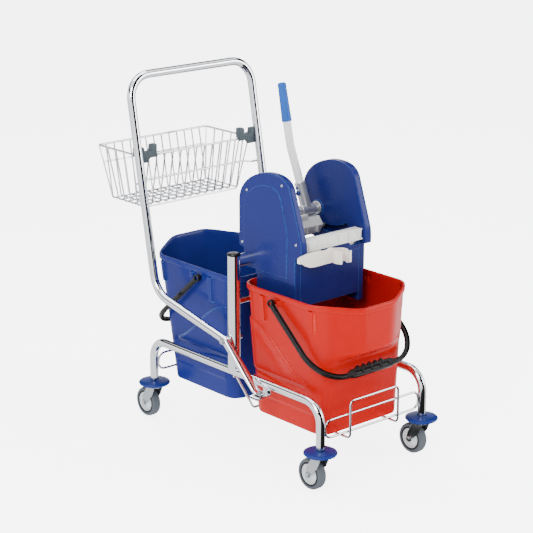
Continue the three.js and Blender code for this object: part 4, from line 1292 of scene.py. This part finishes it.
    def boss(self, side: int) -> bpy.types.Object:
        """Turns the pin that one eye of the bail turns on.

        Args:
            side: Which side, as -1 or 1.

        Returns:
            The pin.
        """
        centre = self.placed(0, -BAIL_PIVOT_BACK, BAIL_PIVOT_Z)
        reach = side * (-1 if self.turned_round else 1)
        pin = [(4.9, 147), (4.9, 168), (6.4, 168.1), (6.4, 169), (4.6, 169.9), (0.6, 170)]
        return turned("boss", pin, centre, Vector((reach, 0, 0)), 28)

    def placed(self, x: float, y: float, z: float) -> Vector:
        """Returns where a point of the bucket's own drawing lies in the frame.

        Args:
            x: Across the bucket.
            y: Along the bucket.
            z: The height.

        Returns:
            The place in the frame.
        """
        if self.turned_round:
            return at(-x, -y + self.shift, z)
        return at(x, y + self.shift, z)


def rounded_box_point(turn: float, half: float, front: float, back: float, radius: float) -> Flat:
    """Returns a point part of the way round a rectangle with rounded corners, spending a fifth on corners.

    Args:
        turn: How far round, from 0 to 1, starting at the middle of the +X side and going towards +Y.
        half: Half the width.
        front: The lower Y.
        back: The higher Y.
        radius: The corner radius.

    Returns:
        The point.
    """
    middle = (front + back) / 2
    deep = (back - front) / 2
    quarter = int(turn * 4) % 4
    share = turn * 4 - int(turn * 4)
    mirror = quarter % 2 == 1
    if mirror:
        share = 1 - share
    x, y = _first_quarter(share, half, deep, radius)
    sign_x = -1 if quarter in (1, 2) else 1
    sign_y = -1 if quarter in (2, 3) else 1
    return sign_x * x, middle + sign_y * y


def _first_quarter(share: float, half: float, deep: float, radius: float) -> Flat:
    """Returns a point of the outline between the +X middle (0) and the +Y middle (1).

    Args:
        share: How far from the one middle to the other.
        half: Half the width.
        deep: Half the depth.
        radius: The corner radius.

    Returns:
        The point.
    """
    side, corner = 0.4, 0.62
    if share < side:
        return half, (deep - radius) * share / side
    if share < corner:
        angle = (share - side) / (corner - side) * math.pi / 2
        return half - radius + radius * math.cos(angle), deep - radius + radius * math.sin(angle)
    return (half - radius) * (1 - share) / (1 - corner), deep


@dataclass
class Bail:
    """A bucket's black carrying bail with its finger grip. Sizes in millimetres."""

    colour: str
    reach: float
    shift: float
    turned_round: bool
    half_span: float = 168.2
    corner: float = 88.0
    droop: float = 41.0
    pivot_back: float = BAIL_PIVOT_BACK
    pivot_z: float = BAIL_PIVOT_Z

    def build(self) -> None:
        """Bends the strap, adds eyes and grip, and hangs it at its rest angle."""
        parts = [self.strand("strap", 0.0, (5.6, 2.6)), self.strand("outer_rib", 5.4, (1.5, 5.6))]
        parts.append(self.strand("inner_rib", -5.0, (1.3, 4.0)))
        out = Vector((1, 0, 0))
        s = self.half_span
        eye = [(5.5, s - 5.4), (8.8, s - 5.4), (9.6, s - 4.4), (9.6, s + 4.4), (8.8, s + 5.4), (5.5, s + 5.4)]
        for side in (-1, 1):
            parts.append(turned("eye", [*eye, eye[0]], Vector((0, 0, 0)), out * side, 36))
        parts.append(self.grip(-SHIFT_Y / MM - self.reach))
        bail = weld(f"{self.colour}_moulded_bail", *parts)
        way = -1 if self.turned_round else 1
        place = Vector((0, (self.shift - way * self.pivot_back) * MM + SHIFT_Y, self.pivot_z * MM))
        droop = Matrix.Rotation(math.radians(self.droop), 4, "X")
        about = Matrix.Rotation(math.pi if self.turned_round else 0.0, 4, "Z")
        bail.data.transform(Matrix.Translation(place) @ about @ droop)
        fit(bail, f"{self.colour}_bail", BLACK_PP, f"{self.colour}_bail")

    def strand(self, name: str, outward: float, section: Flat) -> bpy.types.Object:
        """Bends one strand of the strap, so far outside its middle line.

        Args:
            name: The strand's name.
            outward: How far outside the middle line it runs.
            section: Half its width and half its height.

        Returns:
            The strand.
        """
        lift = -SHIFT_Y / MM
        wide, far = self.half_span + outward, lift - self.reach - outward
        corners = [(-wide, lift - 5, 0), (-wide, far, 0), (wide, far, 0), (wide, lift - 5, 0)]
        return bent_bar(name, corners, self.corner + outward, 1.0, sides=20, section=section, turn_step=4)

    def grip(self, y: float) -> bpy.types.Object:
        """Moulds the hand grip: a wide bar with four windows and five finger ridges.

        Args:
            y: Where the grip's middle lies along Y.

        Returns:
            The grip.
        """
        outline = [(-84, y + 4), (-66, y + 12), (66, y + 12), (84, y + 4)]
        outline += [(84, y - 4), (62, y - 11), (-62, y - 11), (-84, y - 4)]
        bar = slab("grip", outline, -4.6, 4.6, across="z", bevel=1.8, steps=3)
        hole = [(-56.5, y - 6), (-33.5, y - 6), (-33.5, y + 4.5), (-56.5, y + 4.5)]
        window = slab("window", hole, -9, 9, across="z")
        windows = [copied(window, "window", i * 30, 0, 0) for i in range(1, 4)]
        bar = carve(bar, window, *windows)
        ridge = slab("ridge", arc((-40, y + 11.5), 6.2, 0, 330, 11), -5.4, 5.4, across="z", bevel=1.6)
        ridges = [ridge] + [copied(ridge, "ridge", i * 20, 0, 0) for i in range(1, 5)]
        return weld("grip", round_edges(bar, 0.7, 2), *ridges)


# ---------------------------------------------------------------- wringer
@dataclass
class Wringer:
    """The press that stands in the bucket and hooks over the upper crossbar. Sizes in millimetres."""

    half: float = 118.3
    inner: float = 98.0
    front: float = -168.0
    rear_face: float = -23.0
    leg_z: float = 392.0
    wall_z: float = 415.0
    sill_z: float = 552.0
    shaft: Flat = SHAFT
    pivot: Flat = (-60.78, 689.74)
    lug: Flat = (-23.86, 565.1)
    screw_spots: tuple[Flat, ...] = ((10, 682), (-120, 716), (28, 545), (-172, 578))

    def build(self) -> None:
        """Moulds the press body, its covers, jaws and mop holder."""
        self.cheeks()
        self.covers()
        self.jaws()
        self.mop_holder()
        for name, _ in SIDES:
            redress(f"{name}_pinion", GEAR_POM)
            redress(f"{name}_jaw_arm", GEAR_POM)

    def outline(self, inset: float, low: float) -> list[Flat]:
        """Returns the cheek seen from the side, in from its edge by an inset and cut off below.

        Args:
            inset: How far inside the edge.
            low: Where it is cut off below.

        Returns:
            The outline as (y, z) points.
        """
        rear, hook, neck = 40 - inset, 527.3 + inset, self.rear_face - inset
        front, band = self.front + inset, -192 + inset
        points = [(front, low), (neck, low)]
        if low < 511:
            points += [(neck, 511)]
            points += bezier((neck, 511), (neck, 522), (-16 - inset, hook), (POST_Y - inset, hook), 8)
        points += [(6, hook), (rear - 3, hook + 8), (rear, hook + 12), (rear, 652)]
        points += bezier((rear, 652), (rear, 700 - inset), (-20, 739 - inset), (-82, 739 - inset), 22)
        brow, temple = (-118, 739 - inset), (-142 + inset, 730 - inset)
        points += bezier((-82, 739 - inset), brow, temple, (-150 + inset, 704), 14)
        points += [(-188 + inset, 592)]
        points += bezier((-188 + inset, 592), (-191 + inset, 583), (band, 572), (band, 562), 5)
        points += [(band, self.sill_z - 6 + inset), (front, self.sill_z - 10 + inset)]
        return points

    def foot_outline(self) -> list[Flat]:
        """Returns the cheek with its two rounded legs and the arch between them."""
        upper = self.outline(0.0, self.leg_z)
        arch = [(self.rear_face - 16, self.leg_z), (self.rear_face - 22, self.leg_z + 4)]
        arch += [(self.rear_face - 24, 418), (self.front + 50, 418)]
        arch += [(self.front + 46, self.leg_z + 6), (self.front + 40, self.leg_z + 1)]
        return [upper[0], *reversed(arch), *upper[1:]]

    def cheeks(self) -> None:
        """Moulds the two hollow cheeks and the sump between them."""
        parts = []
        for side in (-1, 1):
            low, high = sorted((side * self.inner, side * 115.4))
            rim = slab("rim", self.foot_outline(), low, high, bevel=3.2, steps=4)
            pocket = self.outline(3.0, 486.0)
            low, high = sorted((side * (self.inner + 2.6), side * 119.0))
            rim = carve(rim, slab("pocket", pocket, low, high), self.jaw_slot(side))
            low, high = sorted((side * (self.inner - 3), side * 103.0))
            bore = turned("bearing", [(9.4, low), (9.4, high)], at(0, *self.shaft), Vector((1, 0, 0)), 40)
            parts.append(carve(rim, bore))
            out = Vector((side, 0, 0))
            near, far = self.inner - 2, self.inner + 1
            ring = [(9.4, near), (18.4, near), (20, near + 1.4), (20, far), (9.4, far), (9.4, near)]
            parts.append(turned("bearing_boss", ring, at(0, *self.shaft), out, 56))
            parts.append(turned("pivot_axle", [(5.9, far), (5.9, 115)], at(0, *self.pivot), out, 28))
        parts += self.sump()
        fit(weld("press_body", *parts), "wringer", PRESS_PP, "wringer_body")

    def jaw_slot(self, side: int) -> bpy.types.Object:
        """Makes the cutter for the curved slot that the press bar's lugs travel in.

        Args:
            side: Which cheek, as -1 or 1.

        Returns:
            The cutter.
        """
        reach = 130.0
        far, near = -90 + 16.5 + 6.5, -90 - 25.5 - 6.5
        points = arc(self.pivot, reach + 9.2, near, far, 20) + arc(self.pivot, reach - 9.2, far, near, 20)
        low, high = sorted((side * (self.inner - 4), side * 103.0))
        return slab("slot", points, low, high)

    def sump(self) -> list[bpy.types.Object]:
        """Moulds the front wall with its scalloped sill, the back wall and the slotted floor.

        Returns:
            The four parts.
        """
        edge = self.inner + 1
        top = self.sill_z
        sill = [(-edge, self.wall_z), (edge, self.wall_z), (edge, top), (92, top), (88, top - 5)]
        sill += arc((76, top - 3), 9, -20, -160, 8)
        sill += [(62, top), (-edge, top)]
        wall = slab("front_wall", sill, self.front, self.front + 3, across="y", bevel=0.9, steps=2)
        band = [(-edge, 530), (edge, 530), (edge, top - 9), (62, top - 9), (58, top), (-edge, top)]
        lip = slab("sill_band", band, self.front - 4, self.front + 1, across="y", bevel=1.2, steps=2)
        back = brick("back_wall", (-edge, self.rear_face - 3, self.wall_z), (edge, self.rear_face, 492), 0.9)
        floor = brick("sump_floor", (-edge, self.front + 1, 430), (edge, self.rear_face - 1, 433), 0.9)
        drain = brick("drain", (-82, self.front + 20, 420), (-68, self.rear_face - 20, 440), 0)
        drains = [copied(drain, "drain", i * 30, 0, 0) for i in range(1, 6)]
        return [wall, lip, back, carve(floor, drain, *drains)]

    def covers(self) -> None:
        """Moulds the outer covers with their raised line, and sets four screws in each."""
        for name, side in SIDES:
            low, high = sorted((side * 115.8, side * self.half))
            cover = slab("cover", self.outline(0.0, 474.0), low, high, bevel=1.2, steps=3)
            low, high = sorted((side * (self.half - 0.4), side * (self.half + 1.5)))
            raised = slab("raised_panel", self.panel(), low, high, bevel=1.2, steps=3)
            cheek = weld(f"{name}_cover_plate", cover, raised)
            fit(cheek, "wringer", PRESS_PP, f"{name}_cheek_cover")
            first, *others = self.screw_spots
            screw = self.screw(side, *first)
            screws = [screw] + [copied(screw, "screw", 0, y - first[0], z - first[1]) for y, z in others]
            fit(weld(f"{name}_cover_screws", *screws), "wringer", ZINC)

    def panel(self) -> list[Flat]:
        """Returns the outline of the low step that follows the cheek's top and front edges."""
        points = [(20, 486), (20, 640)]
        points += bezier((20, 640), (20, 684), (-34, 708), (-76, 706), 16)
        points += bezier((-76, 706), (-104, 705), (-114, 694), (-119, 676), 10)
        return [*points, (-139, 607), (-141, 590), (-138, 486)]

    def screw(self, side: int, y: float, z: float) -> bpy.types.Object:
        """Turns one pan-head screw with its recess.

        Args:
            side: Which cheek, as -1 or 1.
            y: Where it sits along Y.
            z: Its height.

        Returns:
            The screw.
        """
        face = self.half
        head = [(3.6, face - 0.3), (3.6, face + 0.5), (2.8, face + 1.2), (1.2, face + 1.3), (0.7, face + 0.5)]
        return turned("screw", head, at(0, y, z), Vector((side, 0, 0)), 20)

    def jaws(self) -> None:
        """Moulds the moving press bar and the fixed ribbed jaw."""
        bar = refined("press_bar", "rear_jaw", 1.3, 2)
        y, z = self.lug
        rib = brick("bar_rib", (-71.2, y - 24.5, z - 14), (-68.8, y - 12, z + 5), 0.5)
        ribs = [bar, rib] + [copied(rib, "bar_rib", i * 35, 0, 0) for i in range(1, 5)]
        fit(weld("press_bar_ribbed", *ribs), "jaw", WHITE_ABS, "rear_jaw")
        rib = brick("jaw_rib", (-85.3, -186.6, 559), (-82.7, -180, 583), 0.5)
        jaw = [refined("fixed_jaw", "front_jaw", 1.2, 2), rib]
        jaw += [copied(rib, "jaw_rib", i * 33.6, 0, 0) for i in range(1, 6)]
        jaw.append(brick("jaw_flange", (-95, -184.6, 557), (95, -180.5, 560.5), 0.8))
        jaw.append(brick("jaw_lip", (-95, -183.2, 581.0), (95, -179, 584.5), 0.8))
        fit(weld("fixed_jaw_ribbed", *jaw), "wringer", WHITE_ABS, "front_jaw")

    def mop_holder(self) -> None:
        """Moulds the cream holder: a pointed bar with a spring clip at its right end."""
        outline = [(-134, 540), (-134, 551), (-128, 555), (-104, 559.5), (-60, 560), (-56, 557), (-36, 557)]
        outline += [(-32, 560), (-21, 560), (-21, 523), (-84, 522.5), (-98, 524), (-112, 530), (-122, 538)]
        bar = slab("holder_bar", outline, -203.0, -193.2, across="y", bevel=1.6, steps=3)
        foot = brick("holder_foot", (-70, -194, 526), (10, -172.6, 549), 0.8)
        clip = [(14.2, 522), (19, 522), (19.4, 523), (19.4, 553), (19, 554), (14.2, 554), (14.2, 522)]
        ring = turned("holder_clip", clip, at(-5, -210, 0), Vector((0, 0, 1)), 56)
        mouth = slab("mouth", [(-16, -240), (6, -240), (4, -212), (-14, -212)], 500, 570, across="z")
        ring = round_edges(carve(ring, mouth), 0.9, 2)
        lips = [
            brick("lip", (-24.5, -230, 523), (-16.5, -225.5, 553), 1.4),
            brick("lip", (6.5, -230, 523), (14.5, -225.5, 553), 1.4),
        ]
        bore = turned("bore", [(14.0, 515), (14.0, 575)], at(-5, -210, 0), Vector((0, 0, 1)), 40)
        bar = carve(bar, bore)
        fit(weld("mop_handle_clip", bar, foot, ring, *lips), "wringer", CREAM_ABS, "mop_holder")


@dataclass
class Lever:
    """The hand lever with its shaft, socket, tube and grip. Sizes in millimetres."""

    x: float = 60.0
    shaft: Flat = SHAFT
    tilt: float = 22.5
    top_tilt: float = 12.0
    bend_at: float = 170.0

    def along(self, distance: float) -> Point:
        """Returns a point on the lower, steeper part of the lever.

        Args:
            distance: How far from the shaft.

        Returns:
            The point.
        """
        lean = math.radians(self.tilt)
        return (self.x, self.shaft[0] + distance * math.sin(lean), self.shaft[1] + distance * math.cos(lean))

    def above(self, distance: float) -> Point:
        """Returns a point above the lever's bend.

        Args:
            distance: How far past the bend.

        Returns:
            The point.
        """
        x, y, z = self.along(self.bend_at)
        lean = math.radians(self.top_tilt)
        return (x, y + distance * math.sin(lean), z + distance * math.cos(lean))

    def build(self) -> None:
        """Builds the lever from its shaft up to the grip."""
        out = Vector((1, 0, 0))
        centre = at(0, *self.shaft)
        bar = [turned("bar", [(8.6, -112), (9, -111.5), (9, 111.5), (8.6, 112)], centre, out, 40)]
        for side in (-1, 1):
            flange = [(9, 91.0), (16.2, 91.0), (17, 91.8), (17, 94.8), (16.2, 95.6), (9, 95.6), (9, 91.0)]
            bar.append(turned("flange", flange, centre, out * side, 48))
        fit(weld("lever_shaft_turned", *bar), "lever", SILVER_CAST, "lever_shaft")
        self.socket(out)
        self.tube_and_grip()

    def socket(self, out: Vector) -> None:
        """Casts the T-shaped socket and pins it.

        Args:
            out: The way that the shaft's axis points.
        """
        base = at(*self.along(0))
        up = (at(*self.along(10)) - base).normalized()
        cup = [(13, 4), (14, 12), (14, 66), (14.4, 67), (14.4, 71), (13.6, 72.2), (11, 72.2), (10.9, 60)]
        parts = [turned("cup", cup, base, up, 44)]
        sleeve = [(9.3, -22), (12.6, -22), (13.4, -21), (13.4, 23), (12.6, 24), (9.3, 24), (9.3, -22)]
        parts.append(turned("sleeve", sleeve, at(self.x, *self.shaft), out, 44))
        fit(weld("lever_socket_cast", *parts), "lever", SILVER_CAST, "lever_socket")
        pins = []
        for distance, radius in ((44.6, 6.2), (58.0, 3.0)):
            x, y, z = self.along(distance)
            for side in (-1, 1):
                head = [(radius, 13.2), (radius, 16.4), (radius - 0.8, 17.4), (0.5, 17.6)]
                pins.append(turned("pin", head, at(x, y, z), out * side, 28))
        fit(weld("lever_pins", *pins), "lever", PRESS_PP, "lever_pin")

    def tube_and_grip(self) -> None:
        """Bends the white tube and dips its grip."""
        corners = [self.along(20), self.along(self.bend_at), self.above(150)]
        tube = bent_bar("lever_tube_bent", corners, 60.0, 10.5, 32, turn_step=2)
        fit(tube, "lever", WHITE_COAT, "lever_tube")
        base = at(*self.above(60))
        up = (at(*self.above(70)) - base).normalized()
        sleeve = [(10.7, 0.2), (12.2, 0), (12.9, 1.2), (12.9, 5)]
        for i in range(9):
            height = mix(9, 84, i / 8)
            radius = mix(12.7, 11.1, i / 8)
            sleeve += [(radius, height - 2.6), (radius - 0.35, height), (radius, height + 2.6)]
        sleeve += [(11.2, 92), (10.6, 95.6), (8.8, 98.2), (5.0, 99.4), (0.6, 99.6)]
        fit(turned("lever_grip_dipped", sleeve, base, up, 48), "lever", GRIP_PVC, "lever_grip")


# ---------------------------------------------------------------- studio
@dataclass
class Studio:
    """The floor, soft lights, surroundings and camera."""

    camera: Point = (-2848.8, -3181.3, 1738.3)
    azimuth: float = -41.22
    elevation: float = 16.63
    lens: float = 118.1
    floor_glare: float = 3.6
    floor_mirrored: float = 1.5
    wall_mirrored: float = 2.0
    wall_fill: float = 0.65
    backdrop: float = 7.0
    flag_spans: tuple[Flat, ...] = ((0.17, 0.33), (0.535, 0.6), (0.68, 0.74))
    flag_edge: float = 0.008

    def build(self) -> None:
        """Sets up the whole studio."""
        self.floor()
        self.lights()
        self.surroundings()
        self.viewpoint()

    def floor(self) -> None:
        """Lays a plain pale floor, which bright metal mirrors between black flags."""
        clear_bench()
        bpy.ops.mesh.primitive_plane_add(size=24.0, location=(0, 0, -0.0005))
        ground = bpy.context.active_object
        ground.name = "studio_floor"
        paper = STUDIO_PAPER.material()
        tree = paper.node_tree
        place = node(tree, "ShaderNodeTexCoord", {}, {})
        rays = node(tree, "ShaderNodeLightPath", {}, {})
        flags = self.flags(tree, place.outputs["Object"])
        strength = {"=Strength": self.floor_mirrored}
        mirrored_paper = node(tree, "ShaderNodeEmission", strength, {"Color": flags})
        seen = {"Color": rays.outputs["Is Camera Ray"]}
        glare = node(tree, "ShaderNodeEmission", {"=Strength": self.floor_glare}, seen)
        parts = {"0": tree.nodes["Principled BSDF"].outputs[0], "1": glare.outputs[0]}
        lit = node(tree, "ShaderNodeAddShader", {}, parts)
        look = {"0": rays.outputs["Is Glossy Ray"], "1": lit.outputs[0], "2": mirrored_paper.outputs[0]}
        both = node(tree, "ShaderNodeMixShader", {}, look)
        tree.links.new(both.outputs[0], tree.nodes["Material Output"].inputs["Surface"])
        ground.data.materials.append(paper)

    def flags(self, tree: bpy.types.NodeTree, spot: bpy.types.NodeSocket) -> bpy.types.NodeSocket:
        """Returns the brightness of a ring of black flags that stand round the object.

        Args:
            tree: The tree of the world or the floor.
            spot: The coordinates to work out the direction from.

        Returns:
            The brightness socket, dark where a flag stands.
        """
        split = node(tree, "ShaderNodeSeparateXYZ", {}, {"Vector": spot})
        sides = {"0": split.outputs["Y"], "1": split.outputs["X"]}
        around = node(tree, "ShaderNodeMath", {"operation": "ARCTAN2"}, sides)
        span = {"=From Min": -math.pi, "=From Max": math.pi}
        turn = node(tree, "ShaderNodeMapRange", span, {"Value": around.outputs[0]})
        marks = [(0.0, 1.0)]
        for start, end in self.flag_spans:
            marks += [(start - self.flag_edge, 1.0), (start, 0.01), (end, 0.01), (end + self.flag_edge, 1.0)]
        return self.banded(tree, turn.outputs["Result"], marks)

    def lights(self) -> None:
        """Hangs three large soft boxes."""
        boxes = (
            ("key", (-2.9, -1.6, 2.8), 2.0, 132.0),
            ("fill", (2.4, -2.9, 1.7), 1.8, 70.0),
            ("top", (0.0, 0.6, 3.6), 2.6, 82.0),
        )
        for name, place, size, power in boxes:
            lamp = bpy.data.lights.new(f"{name}_softbox", "AREA")
            lamp.shape = "SQUARE"
            lamp.size = size
            lamp.energy = power
            holder = bpy.data.objects.new(f"{name}_softbox", lamp)
            bpy.context.scene.collection.objects.link(holder)
            holder.location = place
            aim = Vector((0, 0, 0.4)) - Vector(place)
            holder.rotation_euler = aim.to_track_quat("-Z", "Y").to_euler()

    def surroundings(self) -> None:
        """Paints the surroundings: white to the eye, with black flags for the chrome to mirror."""
        world = bpy.data.worlds.new("studio")
        bpy.context.scene.world = world
        world.use_nodes = True
        tree = world.node_tree
        tree.nodes.clear()
        place = node(tree, "ShaderNodeTexCoord", {}, {})
        split = node(tree, "ShaderNodeSeparateXYZ", {}, {"Vector": place.outputs["Generated"]})
        span = {"=From Min": -1.0, "=From Max": 1.0}
        rise = node(tree, "ShaderNodeMapRange", span, {"Value": split.outputs["Z"]})
        ceiling = [(0.0, 0.5), (0.5, 0.9), (0.55, 1.0), (0.66, 1.0)]
        ceiling += [(0.7, 0.02), (0.8, 0.02), (0.84, 1.0), (1.0, 1.0)]
        level = self.banded(tree, rise.outputs["Result"], ceiling)
        flags = self.flags(tree, place.outputs["Generated"])
        both = node(tree, "ShaderNodeMath", {"operation": "MULTIPLY"}, {"0": level, "1": flags})
        rays = node(tree, "ShaderNodeLightPath", {}, {})
        strength = {"=Strength": self.wall_mirrored}
        mirror = node(tree, "ShaderNodeBackground", strength, {"Color": both.outputs[0]})
        plain = (1, 1, 1, 1)
        fill = node(tree, "ShaderNodeBackground", {"=Color": plain, "=Strength": self.wall_fill}, {})
        white = node(tree, "ShaderNodeBackground", {"=Color": plain, "=Strength": self.backdrop}, {})
        mirrored = {"0": rays.outputs["Is Glossy Ray"], "1": fill.outputs[0], "2": mirror.outputs[0]}
        lit = node(tree, "ShaderNodeMixShader", {}, mirrored)
        viewed = {"0": rays.outputs["Is Camera Ray"], "1": lit.outputs[0], "2": white.outputs[0]}
        seen = node(tree, "ShaderNodeMixShader", {}, viewed)
        node(tree, "ShaderNodeOutputWorld", {}, {"Surface": seen.outputs[0]})

    def banded(
        self, tree: bpy.types.NodeTree, source: bpy.types.NodeSocket, bands: Sequence[Flat]
    ) -> bpy.types.NodeSocket:
        """Turns a 0 to 1 value into light and dark bands.

        Args:
            tree: The tree of the world or the floor.
            source: The value.
            bands: Place and brightness of each mark.

        Returns:
            The brightness socket.
        """
        ramp = node(tree, "ShaderNodeValToRGB", {}, {"Fac": source})
        marks = ramp.color_ramp.elements
        while len(marks) < len(bands):
            marks.new(0.5)
        for mark, (spot, level) in zip(marks, bands):
            mark.position = spot
            mark.color = (level, level, level, 1)
        return ramp.outputs["Color"]

    def viewpoint(self) -> None:
        """Stands the camera in front and to the left, looking down a little."""
        lens = bpy.data.cameras.new("studio_camera")
        lens.lens = self.lens
        lens.sensor_width = 36.0
        holder = bpy.data.objects.new("studio_camera", lens)
        bpy.context.scene.collection.objects.link(holder)
        holder.location = at(*self.camera)
        turn, tip = math.radians(self.azimuth), math.radians(self.elevation)
        back = Vector((math.sin(turn) * math.cos(tip), -math.cos(turn) * math.cos(tip), math.sin(tip)))
        holder.rotation_euler = (-back).to_track_quat("-Z", "Y").to_euler()
        bpy.context.scene.camera = holder


def main() -> None:
    """Builds the trolley, sub-assembly by sub-assembly, and the studio round it."""
    logging.basicConfig(level=logging.INFO, format="%(message)s")
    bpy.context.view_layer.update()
    Studio().build()
    ChromeFrame().build()
    WireWork().build()
    Basket().build()
    CasterSet().build()
    Bucket("red", RED_PP, RED_FRONT, RED_SHIFT, False).build()
    Bucket("blue", BLUE_PP, BLUE_FRONT, BLUE_SHIFT, True).build()
    Bail("red", RED_FRONT.bail, RED_SHIFT, False).build()
    Bail("blue", BLUE_FRONT.bail, BLUE_SHIFT, True).build()
    Wringer().build()
    Lever().build()


if __name__ == "__main__":
    main()
